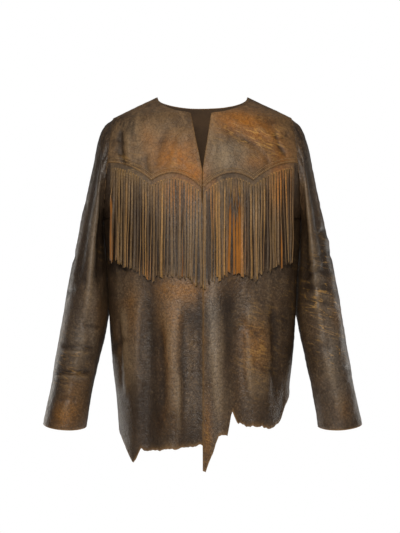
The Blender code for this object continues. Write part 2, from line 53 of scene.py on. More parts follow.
# Armhole ring
TIP_X = 0.185
TIP_Z = -0.015
UNDERARM_X = 0.206
UNDERARM_Z = -0.226
ARMHOLE_DEPTH = 0.066
ARMHOLE_MIDDLE_X = (TIP_X + UNDERARM_X) / 2
ARMHOLE_MIDDLE_Z = (TIP_Z + UNDERARM_Z) / 2
ARMHOLE_LEAN = (TIP_X - UNDERARM_X) / 2
ARMHOLE_HALF = (TIP_Z - UNDERARM_Z) / 2

# Neck
NECK_X = 0.094
NECK_Z = 0.029
BACK_NECK_Z = 0.015
CORNER_Z = -0.012
SLIT_Z = -0.131
LEFT_CORNER_X = 0.018
RIGHT_CORNER_X = -0.024
RIGHT_EDGE_GAP = 0.0008

# The left front laps over the right one
LAP = 0.006
LAP_LIFT = BODY_WALL + 0.0010
LAP_START_Z = -0.190
LAP_FADE_Z = -0.215
LAP_FLAT_X = 0.010
LAP_FADE_X = 0.034
LAP_RISE = 0.040

# Yoke edge
YOKE_CENTRE_Z = -0.168
YOKE_POINT_X = 0.103
YOKE_POINT_Z = -0.151
YOKE_ARMHOLE_Z = -0.113
INNER_ARCH = 0.023
OUTER_ARCH = 0.011
STITCH_ROWS = (0.0028, 0.0088)

# Fringe
HEADER_HEIGHT = 0.013
STRANDS_PER_SIDE = 33
STRAND_WIDTH = 0.0042
STRAND_LENGTH = 0.204
STRAND_LAY = 0.0011
STRAND_START_X = 0.0022
STRAND_REACH_X = 0.187

# Torso, by height: z, half width at the side seam, depth of the front and of the back
TORSO_COLUMNS = ("z", "half_width", "front_depth", "back_depth")
TORSO = (
    (-0.760, 0.169, 0.110, 0.106),
    (-0.681, 0.174, 0.111, 0.106),
    (-0.599, 0.180, 0.111, 0.105),
    (-0.517, 0.189, 0.110, 0.101),
    (-0.445, 0.1945, 0.110, 0.099),
    (-0.350, 0.199, 0.114, 0.105),
    (-0.291, 0.203, 0.117, 0.111),
    (-0.240, 0.2062, 0.119, 0.115),
    (-0.226, 0.206, 0.119, 0.116),
    (-0.131, 0.206, 0.108, 0.117),
    (-0.060, 0.206, 0.092, 0.107),
    (-0.012, 0.206, 0.076, 0.091),
    (0.007, 0.206, 0.052, 0.079),
    (0.031, 0.206, 0.026, 0.058),
)
TURN = ((-0.760, 90.0), (-0.226, 90.0), (-0.180, 62.0), (-0.120, 56.0), (-0.060, 60.0), (-0.015, 90.0), (0.031, 90.0))

# Sleeve rings: the outer and the inner edge seen from the front, half depth, middle
SLEEVE_COLUMNS = ("outer_x", "outer_z", "inner_x", "inner_z", "half_depth", "middle_y", "wrap")
SLEEVE = (
    (0.185, -0.015, 0.2060, -0.226, 0.066, 0.000, 0.000),
    (0.206, -0.034, 0.2082, -0.238, 0.069, 0.001, 0.002),
    (0.220, -0.070, 0.2073, -0.256, 0.071, 0.003, 0.006),
    (0.230, -0.118, 0.2060, -0.278, 0.072, 0.005, 0.007),
    (0.243, -0.178, 0.2042, -0.305, 0.072, 0.006, 0.007),
    (0.257, -0.242, 0.2016, -0.340, 0.071, 0.006, 0.007),
    (0.271, -0.310, 0.1995, -0.380, 0.069, 0.004, 0.007),
    (0.284, -0.378, 0.1985, -0.422, 0.066, 0.000, 0.006),
    (0.294, -0.440, 0.2040, -0.467, 0.062, -0.005, 0.002),
    (0.303, -0.500, 0.2150, -0.516, 0.058, -0.011, 0.000),
    (0.313, -0.560, 0.2260, -0.568, 0.054, -0.017, 0.000),
    (0.323, -0.612, 0.2350, -0.618, 0.051, -0.022, 0.000),
    (0.331, -0.650, 0.2400, -0.657, 0.049, -0.025, 0.000),
)
WRAP_ANGLE = 222.0
WRAP_SPREAD = 26.0
CUFF_DIP = 0.005
CUFF_DIP_START = 10.5

# Raw lower edges of the hide
FRONT_HEM = (
    (-0.180, -0.655),
    (-0.163, -0.690),
    (-0.146, -0.728),
    (-0.128, -0.697),
    (-0.112, -0.700),
    (-0.066, -0.692),
    (-0.009, -0.686),
    (-0.002, -0.688),
    (0.001, -0.735),
    (0.007, -0.737),
    (0.013, -0.716),
    (0.022, -0.698),
    (0.032, -0.664),
    (0.050, -0.664),
    (0.057, -0.616),
    (0.072, -0.642),
    (0.095, -0.650),
    (0.122, -0.650),
    (0.139, -0.658),
    (0.158, -0.642),
    (0.172, -0.600),
    (0.180, -0.590),
)
BACK_HEM = (
    (-0.180, -0.655),
    (-0.140, -0.640),
    (-0.090, -0.651),
    (-0.050, -0.634),
    (0.000, -0.642),
    (0.060, -0.628),
    (0.100, -0.640),
    (0.150, -0.622),
    (0.180, -0.590),
)
FRONT_HEM_Z = -0.680
BACK_HEM_Z = -0.640
HEM_EDGE_X = 0.002

# Large soft folds: place at the top and at the hem, half width, height, top of the fold
FOLD_COLUMNS = ("top_x", "hem_x", "half_width", "height", "top_z")
FRONT_FOLDS = (
    (-0.134, -0.140, 0.022, 0.008, -0.330),
    (-0.104, -0.108, 0.018, -0.009, -0.340),
    (-0.058, -0.062, 0.026, 0.010, -0.330),
    (-0.012, -0.014, 0.020, -0.005, -0.380),
    (0.024, 0.044, 0.022, 0.009, -0.300),
    (0.062, 0.080, 0.022, -0.007, -0.330),
    (0.116, 0.122, 0.030, 0.006, -0.330),
    (0.160, 0.160, 0.020, -0.006, -0.360),
)
BACK_FOLDS = (
    (-0.130, -0.136, 0.026, 0.009, -0.300),
    (-0.084, -0.096, 0.022, -0.007, -0.320),
    (-0.040, -0.052, 0.026, 0.009, -0.280),
    (0.004, 0.000, 0.022, -0.007, -0.300),
    (0.050, 0.058, 0.028, 0.010, -0.290),
    (0.098, 0.104, 0.022, -0.008, -0.340),
    (0.144, 0.146, 0.024, 0.007, -0.320),
)
FOLD_FADE = 0.130
FOLD_HEM_Z = -0.700
SIDE_FADE_SHARE = 0.08

# All creases are this much deeper than their tables say
CREASE_DEPTH = 1.5

# Creases of a panel, seen from the front: two ends, sideways bow, half width, height
CREASE_COLUMNS = ("x0", "z0", "x1", "z1", "bow", "half_width", "height")
FRONT_CREASES = (
    (-0.166, -0.036, -0.158, -0.128, 0.004, 0.0060, -0.0030),
    (-0.150, -0.040, -0.146, -0.120, 0.003, 0.0070, 0.0016),
    (-0.116, -0.090, -0.106, -0.146, 0.002, 0.0055, -0.0014),
    (-0.058, -0.030, -0.094, -0.136, 0.010, 0.0080, -0.0009),
    (-0.030, -0.040, -0.060, -0.150, 0.008, 0.0110, 0.0012),
    (-0.176, -0.060, -0.150, -0.078, 0.002, 0.0040, -0.0012),
    (-0.180, -0.084, -0.160, -0.098, 0.002, 0.0045, -0.0014),
    (0.050, -0.016, 0.136, -0.050, 0.010, 0.0060, 0.0012),
    (0.040, -0.034, 0.124, -0.080, 0.010, 0.0050, -0.0009),
    (0.100, -0.024, 0.170, -0.078, 0.006, 0.0055, 0.0012),
    (0.070, -0.056, 0.144, -0.132, -0.008, 0.0050, -0.0009),
    (0.028, -0.040, 0.048, -0.146, 0.004, 0.0070, -0.0008),
    (0.146, -0.044, 0.172, -0.104, 0.004, 0.0055, -0.0022),
    (0.178, -0.052, 0.158, -0.066, 0.000, 0.0040, -0.0014),
    (-0.160, -0.390, -0.154, -0.600, 0.004, 0.0090, 0.0022),
    (-0.172, -0.420, -0.166, -0.600, -0.003, 0.0060, -0.0020),
    (-0.120, -0.400, -0.124, -0.560, 0.003, 0.0060, -0.0016),
    (-0.086, -0.420, -0.082, -0.640, -0.004, 0.0080, -0.0022),
    (-0.036, -0.400, -0.034, -0.660, 0.004, 0.0090, -0.0022),
    (-0.046, -0.520, -0.050, -0.680, -0.002, 0.0060, 0.0018),
    (0.026, -0.480, 0.034, -0.640, 0.003, 0.0070, 0.0014),
    (0.092, -0.400, 0.100, -0.600, 0.004, 0.0090, 0.0018),
    (0.140, -0.380, 0.146, -0.620, -0.004, 0.0080, -0.0022),
    (0.076, -0.430, 0.128, -0.470, 0.006, 0.0090, -0.0016),
    (0.100, -0.510, 0.150, -0.540, 0.004, 0.0080, -0.0014),
    (-0.150, -0.470, -0.190, -0.500, 0.003, 0.0080, -0.0016),
    (0.150, -0.300, 0.186, -0.330, 0.004, 0.0070, -0.0018),
    (-0.186, -0.310, -0.150, -0.336, 0.004, 0.0070, -0.0018),
)
BACK_CREASES = (
    (-0.160, -0.050, -0.120, -0.140, 0.010, 0.0090, -0.0022),
    (0.158, -0.054, 0.126, -0.150, -0.010, 0.0090, -0.0022),
    (-0.176, -0.130, -0.130, -0.190, 0.008, 0.0070, -0.0020),
    (0.178, -0.126, 0.120, -0.196, -0.008, 0.0070, -0.0020),
    (-0.060, -0.016, 0.058, -0.020, 0.000, 0.0080, -0.0014),
    (-0.030, -0.040, -0.080, -0.120, 0.006, 0.0100, 0.0014),
    (0.034, -0.044, 0.070, -0.130, -0.006, 0.0100, 0.0014),
    (-0.150, -0.290, -0.140, -0.600, 0.006, 0.0100, 0.0022),
    (-0.112, -0.440, -0.116, -0.640, 0.004, 0.0080, -0.0020),
    (-0.012, -0.300, -0.020, -0.560, 0.006, 0.0100, -0.0018),
    (0.026, -0.470, 0.028, -0.640, -0.004, 0.0080, 0.0020),
    (0.074, -0.270, 0.084, -0.540, 0.005, 0.0090, -0.0018),
    (0.124, -0.420, 0.126, -0.620, -0.003, 0.0080, -0.0020),
    (-0.050, -0.400, 0.030, -0.436, 0.014, 0.0140, -0.0008),
    (0.090, -0.500, 0.170, -0.450, 0.012, 0.0130, -0.0010),
    (-0.180, -0.430, -0.110, -0.474, 0.012, 0.0120, -0.0009),
)

# Creases of a sleeve: share of its length and angle round it at two ends, then sizes.
# Angles: 0 outer, 90 front, 180 at the body, 270 back.
SLEEVE_CREASE_COLUMNS = ("s0", "a0", "s1", "a1", "half_width", "height")
BOTH_SLEEVES = (
    (0.03, 100, 0.72, 96, 0.0100, 0.0024),
    (0.05, 66, 0.60, 60, 0.0130, -0.0030),
    (0.06, 132, 0.55, 126, 0.0120, -0.0030),
    (0.04, 250, 0.50, 262, 0.0140, 0.0030),
    (-0.14, 224, 0.70, 214, 0.0170, 0.0034),
    (0.62, 110, 0.98, 84, 0.0130, 0.0012),
    (0.02, 30, 0.10, 50, 0.0060, -0.0016),
    (0.02, 340, 0.12, 320, 0.0070, -0.0018),
    (0.015, 70, 0.09, 78, 0.0050, -0.0014),
    (0.015, 290, 0.10, 282, 0.0050, -0.0014),
    (0.44, 285, 0.50, 200, 0.0070, -0.0030),
    (0.49, 300, 0.53, 215, 0.0060, 0.0024),
    (0.53, 290, 0.57, 195, 0.0070, -0.0032),
    (0.58, 300, 0.60, 220, 0.0060, -0.0024),
    (0.66, 310, 0.69, 210, 0.0070, -0.0022),
    (0.80, 300, 0.82, 230, 0.0070, -0.0018),
)
RIGHT_SLEEVE = (
    (0.715, 150, 0.730, 30, 0.0050, -0.0020),
    (0.735, 140, 0.745, 40, 0.0050, 0.0014),
    (0.792, 160, 0.806, 20, 0.0042, -0.0030),
    (0.806, 150, 0.820, 26, 0.0050, 0.0020),
    (0.640, 150, 0.652, 90, 0.0060, -0.0018),
    (0.560, 60, 0.585, 10, 0.0060, -0.0016),
    (0.480, 40, 0.500, 350, 0.0070, -0.0018),
    (0.340, 50, 0.360, 0, 0.0080, -0.0014),
    (0.880, 120, 0.888, 60, 0.0060, -0.0012),
)
LEFT_SLEEVE = (
    (0.410, 150, 0.462, 60, 0.0036, -0.0013),
    (0.424, 158, 0.492, 46, 0.0034, 0.0011),
    (0.440, 160, 0.530, 30, 0.0036, -0.0017),
    (0.462, 158, 0.556, 24, 0.0034, 0.0013),
    (0.484, 160, 0.585, 20, 0.0036, -0.0018),
    (0.512, 156, 0.610, 26, 0.0034, 0.0012),
    (0.530, 158, 0.640, 16, 0.0036, -0.0015),
    (0.566, 150, 0.664, 36, 0.0034, -0.0010),
    (0.400, 60, 0.430, 10, 0.0050, -0.0016),
    (0.430, 50, 0.462, 356, 0.0050, 0.0014),
    (0.460, 40, 0.500, 350, 0.0050, -0.0018),
    (0.355, 40, 0.372, 5, 0.0050, -0.0014),
    (0.700, 130, 0.740, 80, 0.0070, -0.0012),
    (0.780, 60, 0.800, 20, 0.0070, -0.0012),
)

# Patches seen from the front: place, half sizes, strength. Tan patches are worn places and scratch
# patches rub lines; dark patches are darker leather and also painted shade, grey patches grey bloom
# and also painted highlights.
PATCH_COLUMNS = ("x", "z", "half_x", "half_z", "strength")
TAN_PATCHES = (
    (-0.056, -0.104, 0.040, 0.034, 1.0),
    (-0.018, -0.140, 0.026, 0.022, 0.9),
    (-0.110, -0.060, 0.016, 0.030, 0.4),
    (0.074, -0.030, 0.046, 0.024, 1.0),
    (0.124, -0.060, 0.034, 0.024, 0.7),
    (0.110, -0.112, 0.026, 0.016, 0.4),
    (0.160, -0.104, 0.024, 0.030, 0.5),
    (-0.040, -0.372, 0.050, 0.024, 1.0),
    (-0.068, -0.480, 0.020, 0.100, 0.5),
    (-0.056, -0.430, 0.016, 0.030, 0.5),
    (0.108, -0.490, 0.030, 0.050, 0.7),
    (0.086, -0.450, 0.014, 0.026, 0.3),
    (-0.066, -0.640, 0.024, 0.030, 0.6),
    (-0.140, -0.420, 0.014, 0.060, 0.4),
    (0.060, -0.260, 0.022, 0.080, 0.7),
    (-0.070, -0.205, 0.034, 0.036, 0.5),
    (0.010, -0.660, 0.008, 0.060, 0.8),
    (-0.286, -0.630, 0.022, 0.030, 0.9),
    (-0.262, -0.600, 0.020, 0.050, 0.5),
    (0.256, -0.180, 0.020, 0.050, 0.7),
    (0.280, -0.430, 0.020, 0.030, 0.4),
    (0.290, -0.610, 0.020, 0.030, 0.4),
    (0.170, -0.210, 0.030, 0.050, 0.6),
)
# Partly painted shade: down the fold valleys, along the front edge, at the sides beside the sleeves and on the
# sleeves. The rest darkens the leather toward the hem.
DARK_AND_SHADE_PATCHES = (
    (-0.152, -0.655, 0.056, 0.090, 1.6),
    (-0.080, -0.650, 0.080, 0.036, 1.2),
    (-0.030, -0.672, 0.020, 0.016, 0.7),
    (-0.176, -0.240, 0.020, 0.070, 0.8),
    (0.186, -0.300, 0.018, 0.060, 0.5),
    (-0.214, -0.130, 0.016, 0.120, 0.7),
    (-0.262, -0.360, 0.024, 0.150, 0.5),
    (0.268, -0.250, 0.020, 0.090, 0.6),
    (0.316, -0.560, 0.020, 0.100, 0.6),
    (0.070, -0.400, 0.020, 0.070, 0.5),
    (-0.107, -0.420, 0.015, 0.170, 1.0),
    (0.052, -0.460, 0.011, 0.120, 0.9),
    (-0.006, -0.450, 0.005, 0.200, 1.0),
    (-0.186, -0.400, 0.012, 0.200, 0.7),
    (0.184, -0.440, 0.014, 0.160, 0.7),
    (-0.240, -0.250, 0.050, 0.200, 0.25),
    (0.262, -0.250, 0.050, 0.240, 0.25),
    (-0.285, -0.560, 0.060, 0.100, 0.35),
    (0.290, -0.560, 0.060, 0.100, 0.35),
    (0.140, -0.635, 0.060, 0.040, 0.9),
    (0.222, -0.360, 0.012, 0.060, 0.7),
    (0.140, -0.240, 0.030, 0.070, 0.4),
    (-0.320, -0.600, 0.016, 0.060, 0.8),
)
# Partly painted highlights: narrow streaks on the fold ridges of the front and down the front of each sleeve. The
# broader patches on the chest and lower front are grey bloom.
GREY_BLOOM_AND_HIGHLIGHT_PATCHES = (
    (0.018, -0.400, 0.011, 0.130, 1.0),
    (0.030, -0.540, 0.011, 0.090, 0.8),
    (-0.058, -0.430, 0.014, 0.110, 1.0),
    (-0.134, -0.420, 0.010, 0.120, 0.4),
    (-0.120, -0.100, 0.020, 0.030, 0.4),
    (0.052, -0.104, 0.040, 0.036, 1.0),
    (-0.110, -0.056, 0.050, 0.040, 0.5),
    (0.020, -0.060, 0.016, 0.050, 0.5),
    (-0.020, -0.260, 0.040, 0.080, 0.8),
    (-0.110, -0.250, 0.040, 0.070, 0.5),
    (-0.217, -0.170, 0.006, 0.080, 0.9),
    (-0.226, -0.320, 0.008, 0.130, 1.0),
    (-0.250, -0.480, 0.022, 0.060, 0.6),
    (0.222, -0.120, 0.010, 0.070, 0.7),
    (0.240, -0.300, 0.012, 0.110, 0.8),
    (0.262, -0.480, 0.018, 0.100, 1.0),
    (0.280, -0.580, 0.020, 0.060, 0.7),
    (0.130, -0.200, 0.030, 0.050, 0.4),
    (-0.020, -0.600, 0.030, 0.050, 0.4),
)

SCRATCH_PATCHES = (
    (0.126, -0.066, 0.050, 0.040, 1.0),
    (0.060, -0.050, 0.040, 0.030, 0.5),
    (0.254, -0.380, 0.060, 0.100, 1.0),
    (0.280, -0.480, 0.030, 0.050, 0.6),
    (-0.040, -0.120, 0.030, 0.030, 0.5),
    (-0.150, -0.120, 0.030, 0.030, 0.5),
    (-0.180, -0.300, 0.040, 0.050, 0.3),
    (-0.280, -0.520, 0.040, 0.060, 0.5),
    (0.110, -0.480, 0.040, 0.090, 0.5),
    (0.010, -0.680, 0.010, 0.050, 0.6),
)

FRINGE_TAN = (
    (0.068, -0.300, 0.019, 0.080, 1.0),
    (-0.190, -0.300, 0.010, 0.030, 1.0),
    (-0.044, -0.180, 0.034, 0.040, 0.6),
    (0.160, -0.165, 0.022, 0.050, 0.8),
    (0.020, -0.200, 0.012, 0.060, 0.4),
    (-0.116, -0.340, 0.012, 0.030, 0.6),
)
FRINGE_GREY = (
    (0.108, -0.215, 0.014, 0.034, 1.0),
    (-0.140, -0.170, 0.030, 0.030, 0.7),
    (-0.030, -0.260, 0.034, 0.070, 0.8),
    (-0.080, -0.240, 0.020, 0.040, 0.4),
    (0.150, -0.300, 0.020, 0.030, 0.5),
)
FRINGE_DARK = (
    (-0.110, -0.280, 0.030, 0.060, 0.6),
    (-0.070, -0.330, 0.030, 0.030, 0.7),
    (0.040, -0.220, 0.012, 0.040, 0.8),
    (0.140, -0.260, 0.014, 0.050, 0.8),
    (0.120, -0.330, 0.030, 0.020, 0.4),
    (-0.190, -0.240, 0.020, 0.070, 0.5),
)

# Grid sizes of the shells
FRONT_COLUMNS = 92
SKIRT_STEPS = 118
UPPER_STEPS = 66
BACK_HALF_COLUMNS = 80
SLEEVE_SIDES = 104
SLEEVE_STEPS = 190
STRAND_COLUMNS = (0.0, 0.16, 0.5, 0.84, 1.0)
STRAND_STEPS = 30


def blend(start, end, share):
    return start + (end - start) * share


def ease(share):
    share = np.clip(share, 0.0, 1.0)
    return share * share * (3.0 - 2.0 * share)


def smooth_row(table, name_at, place):
    """Catmull-Rom value of one column at a place between the rows of a table."""
    last = len(table) - 1
    index = min(int(place), last - 1)
    share = place - index
    before = table[max(index - 1, 0)][name_at]
    start = table[index][name_at]
    end = table[index + 1][name_at]
    after = table[min(index + 2, last)][name_at]
    slope_start = (end - before) * 0.5
    slope_end = (after - start) * 0.5
    cube = share ** 3
    square = share ** 2
    return (
        (2 * cube - 3 * square + 1) * start
        + (cube - 2 * square + share) * slope_start
        + (3 * square - 2 * cube) * end
        + (cube - square) * slope_end
    )


SAMPLES_PER_ROW = 24


def dense(table, name_at):
    """A table's column as many samples of its smooth curve, against the first column."""
    keys = []
    values = []
    for index in range(len(table) - 1):
        for step in range(SAMPLES_PER_ROW):
            share = step / SAMPLES_PER_ROW
            keys.append(blend(table[index][0], table[index + 1][0], share))
            values.append(smooth_row(table, name_at, index + share))
    keys.append(table[-1][0])
    values.append(table[-1][name_at])
    return np.array(keys), np.array(values)


TORSO_CURVES = {name: dense(TORSO, at) for at, name in enumerate(TORSO_COLUMNS)}
TURN_Z, TURN_ANGLE = np.array(TURN).T
FRONT_HEM_X, FRONT_HEM_HEIGHT = np.array(FRONT_HEM).T
BACK_HEM_X, BACK_HEM_HEIGHT = np.array(BACK_HEM).T


def torso(name, z):
    return np.interp(z, *TORSO_CURVES[name])


def side_edge(z):
    """x and depth of a torso surface's outer boundary: side seam, armhole or shoulder seam."""
    rise = np.clip((z - ARMHOLE_MIDDLE_Z) / ARMHOLE_HALF, -1.0, 1.0)
    arm_x = ARMHOLE_MIDDLE_X + ARMHOLE_LEAN * rise
    arm_depth = ARMHOLE_DEPTH * np.sqrt(1.0 - rise * rise)
    share = np.clip((z - TIP_Z) / (NECK_Z - TIP_Z), 0.0, 1.0)
    shoulder_x = blend(TIP_X, NECK_X, share)
    low = z <= UNDERARM_Z
    high = z > TIP_Z
    x = np.where(low, torso("half_width", z), np.where(high, shoulder_x, arm_x))
    depth = np.where(low | high, 0.0, arm_depth)
    return x, depth


def form_depth(depth_name, x, z):
    edge_x, edge_depth = side_edge(z)
    turn = np.radians(np.interp(z, TURN_Z, TURN_ANGLE))
    ratio = np.minimum(np.abs(x) / edge_x, 1.0)
    angle = np.arcsin(np.minimum(ratio * np.sin(turn), 1.0))
    fall = (1.0 - np.cos(angle)) / (1.0 - np.cos(turn))
    return blend(torso(depth_name, z), edge_depth, fall)


# Heights over which the form is evened out away from its seams, and the share of the
# half width where this fades toward a seam
EVEN_STEPS = (-0.020, -0.010, 0.0, 0.010, 0.020)
EVEN_FADE_SHARE = 0.14


def surface_depth(depth_name, x, z):
    plain = form_depth(depth_name, x, z)
    even = sum(form_depth(depth_name, x, z + step) for step in EVEN_STEPS) / len(EVEN_STEPS)
    inward = ease((1.0 - np.abs(x) / side_edge(z)[0]) / EVEN_FADE_SHARE)
    low_enough = ease((TIP_Z - 0.012 - z) / 0.030)
    return blend(plain, even, inward * low_enough)


def fold_height(folds, x, z):
    total = np.zeros_like(x)
    for values in folds:
        fold = dict(zip(FOLD_COLUMNS, values))
        drop = fold["top_z"] - z
        run = np.clip(drop / (fold["top_z"] - FOLD_HEM_Z), 0.0, 1.0)
        across = (x - blend(fold["top_x"], fold["hem_x"], run)) / fold["half_width"]
        total += fold["height"] * ease(drop / FOLD_FADE) * np.exp(-across * across)
    return total


def segment_bumps(table, u, v, columns, bow_name=None):
    """Soft ridges and troughs along short lines in a flat map (u, v)."""
    total = np.zeros_like(u)
    for values in table:
        line = dict(zip(columns, values))
        u0, v0, u1, v1 = values[:4]
        du, dv = u1 - u0, v1 - v0
        length = (du * du + dv * dv) ** 0.5
        along = ((u - u0) * du + (v - v0) * dv) / (length * length)
        across = ((u - u0) * dv - (v - v0) * du) / length
        if bow_name:
            across = across - line[bow_name] * np.sin(np.clip(along, 0, 1) * pi)
        over = np.maximum(np.maximum(-along, along - 1.0), 0.0) * length
        fade = ease((along + 0.02) / 0.25) * ease((1.02 - along) / 0.25)
        gap = (across / line["half_width"]) ** 2 + (over / line["half_width"]) ** 2
        total += line["height"] * np.exp(-gap) * fade
    return total


def ripples(u, v, size, seed):
    """A smooth uneven field of about -1 to 1 with features of a size."""
    draw = np.random.default_rng(seed)
    total = np.zeros_like(u)
    waves = 9
    for _ in range(waves):
        angle = draw.uniform(0, 2 * pi)
        rate = 2 * pi / (size * draw.uniform(0.7, 1.8))
        phase = draw.uniform(0, 2 * pi)
        total += np.sin((u * cos(angle) + v * sin(angle)) * rate + phase)
    return total / waves ** 0.5 / 1.4


def patches(table, x, z):
    total = np.zeros_like(x)
    for values in table:
        patch = dict(zip(PATCH_COLUMNS, values))
        across = (x - patch["x"]) / patch["half_x"]
        up = (z - patch["z"]) / patch["half_z"]
        total += patch["strength"] * np.exp(-(across * across + up * up))
    return np.minimum(total, 1.0)


def yoke_edge_z(x):
    x = np.abs(x)
    share = x / YOKE_POINT_X
    inner = blend(YOKE_CENTRE_Z, YOKE_POINT_Z, share) + INNER_ARCH * (1.0 - (2.0 * share - 1.0) ** 2)
    reach = float(side_edge(np.array(YOKE_ARMHOLE_Z))[0])
    share = (x - YOKE_POINT_X) / (reach - YOKE_POINT_X)
    outer = blend(YOKE_POINT_Z, YOKE_ARMHOLE_Z, share) + OUTER_ARCH * (1.0 - (2.0 * share - 1.0) ** 2)
    return np.where(x <= YOKE_POINT_X, inner, outer)


def lap_lift(x, z):
    across = 1.0 - ease((x - LAP_FLAT_X) / (LAP_FADE_X - LAP_FLAT_X))
    return LAP_LIFT * across * ease((SLIT_Z - z) / LAP_RISE)


def torso_points(depth_name, facing, folds, side, x, z):
    """Points of the torso's surface as an array of rows, columns and x, y, z."""
    depth = surface_depth(depth_name, x, z)
    side_fade = ease((1.0 - np.abs(x) / side_edge(z)[0]) / SIDE_FADE_SHARE)
    depth = depth + fold_height(folds, x, z) * side_fade
    if facing < 0 and side > 0:
        depth = depth + lap_lift(x, z)
    return np.stack([x, facing * depth, z], axis=-1)


def grid_normals(points, closed, mirror_side_rows=0, mirror_top=False):
    """Outward normals of a grid of points; seams on y = 0 see their mirror image."""
    across = np.gradient(points, axis=1)
    along = np.gradient(points, axis=0)
    if closed:
        across = (np.roll(points, -1, axis=1) - np.roll(points, 1, axis=1)) / 2
    if mirror_side_rows:
        ghost = points[:mirror_side_rows, -2] * (1, -1, 1)
        across[:mirror_side_rows, -1] = (ghost - points[:mirror_side_rows, -2]) / 2
    if mirror_top:
        ghost = points[-2] * (1, -1, 1)
        along[-1] = (ghost - points[-2]) / 2
    normals = np.cross(across, along)
    return normals / np.maximum(np.linalg.norm(normals, axis=-1, keepdims=True), 1e-12)


def turned_to(normals, direction):
    middle = normals[normals.shape[0] // 3, normals.shape[1] // 3]
    return normals if np.dot(middle, direction) > 0 else -normals


def seam_dip(distance, depth, reach):
    return -depth * np.exp(-((distance / reach) ** 2))


def set_attribute(mesh, name, values):
    layer = mesh.attributes.new(name, "FLOAT", "POINT")
    layer.data.foreach_set("value", np.ascontiguousarray(values, dtype=np.float32).ravel())


def shell(name, points, closed, slots, attributes, wall, flip):
    """A grid of points as a leather shell: grain outside, nap inside and at the edges."""
    rows, count = points.shape[:2]
    steps = count if closed else count - 1
    index = np.arange(rows * count).reshape(rows, count)
    right = np.roll(index, -1, axis=1)
    quads = np.stack([index[:-1, :steps], right[:-1, :steps], right[1:, :steps], index[1:, :steps]], axis=-1)
    quads = quads.reshape(-1, 4)
    if flip:
        quads = quads[:, ::-1]
    mesh = bpy.data.meshes.new(name)
    mesh.from_pydata(points.reshape(-1, 3).tolist(), [], quads.tolist())
    for key, values in attributes.items():
        set_attribute(mesh, key, values)
    for slot in slots:
        mesh.materials.append(slot)
    mesh.shade_smooth()
    mesh.update()
    piece = bpy.data.objects.new(name, mesh)
    bpy.context.scene.collection.objects.link(piece)
    thicken(piece, wall)
    return piece


def thicken(piece, wall):
    solid = piece.modifiers.new("leather wall", "SOLIDIFY")
    solid.thickness = wall
    solid.offset = -1.0
    solid.use_rim = True
    solid.material_offset = 1
    solid.material_offset_rim = 2


def front_edge_x(side, z):
    slit_share = np.maximum((z - SLIT_Z) / (CORNER_Z - SLIT_Z), 0.0)
    if side > 0:
        return blend(SEAM_HALF_GAP, LEFT_CORNER_X, slit_share)
    lap_share = ease((LAP_START_Z - z) / (LAP_START_Z - LAP_FADE_Z))
    return blend(-RIGHT_EDGE_GAP, RIGHT_CORNER_X, slit_share) + LAP * lap_share


def neckline(side, share, low_z, low_x):
    start = asin(abs(low_x) / NECK_X)
    angle = blend(start, pi / 2, share)
    scale = (cos(start) - np.cos(angle)) / cos(start)
    return side * NECK_X * np.sin(angle), blend(low_z, NECK_Z, scale)


def armhole_xz(share):
    angle = pi * (1.0 - share)
    return ARMHOLE_MIDDLE_X + ARMHOLE_LEAN * np.cos(angle), ARMHOLE_MIDDLE_Z + ARMHOLE_HALF * np.cos(angle)


def armhole_share(z):
    return 1.0 - acos((z - ARMHOLE_MIDDLE_Z) / ARMHOLE_HALF) / pi


# Rows above the underarm: height at the front edge, share along the neckline,
# share along the armhole, and how closely the row follows the yoke edge
UPPER_ROWS = (
    (UNDERARM_Z, 0.00, 0.00, 0.0),
    (-0.204, 0.00, 0.24, 0.4),
    (YOKE_CENTRE_Z - HEADER_HEIGHT, 0.00, armhole_share(YOKE_ARMHOLE_Z - HEADER_HEIGHT), 1.0),
    (YOKE_CENTRE_Z, 0.00, armhole_share(YOKE_ARMHOLE_Z), 1.0),
    (SLIT_Z, 0.00, 0.62, 0.5),
    (-0.072, 0.00, 0.71, 0.0),
    (CORNER_Z, 0.00, 0.79, 0.0),
    (CORNER_Z, 0.40, 0.86, 0.0),
    (CORNER_Z, 0.75, 0.93, 0.0),
    (CORNER_Z, 1.00, 1.00, 0.0),
)
YOKE_ROW = 3


def upper_row(side, place, columns):
    """x and z along one row above the underarm, at a place between the table's rows."""
    index = min(int(place), len(UPPER_ROWS) - 2)
    share = place - index
    edge_z, neck, arm, follow = (blend(a, b, share) for a, b in zip(UPPER_ROWS[index], UPPER_ROWS[index + 1]))
    inner_z = edge_z
    inner_x = float(front_edge_x(side, np.array(edge_z)))
    if neck > 0.0:
        corner_x = float(front_edge_x(side, np.array(CORNER_Z)))
        inner_x, inner_z = neckline(side, neck, CORNER_Z, corner_x)
    seam_x, seam_z = armhole_xz(arm)
    turn = radians(float(np.interp(seam_z, TURN_Z, TURN_ANGLE)))
    across = np.sin(turn * np.arange(columns + 1) / columns) / sin(turn)
    x = blend(inner_x, side * seam_x, across)
    straight = blend(YOKE_CENTRE_Z, YOKE_ARMHOLE_Z, across)
    z = blend(inner_z, seam_z, across) + follow * (yoke_edge_z(x) - straight)
    return x, z


def raw_hem(x, heights, places, seed):
    """The cut edge of the hide, with small nicks and waves."""
    z = np.interp(x, places, heights)
    return z + 0.0022 * ripples(x, x * 0, 0.020, seed) + 0.0014 * ripples(x, x * 0, 0.006, seed + 1)


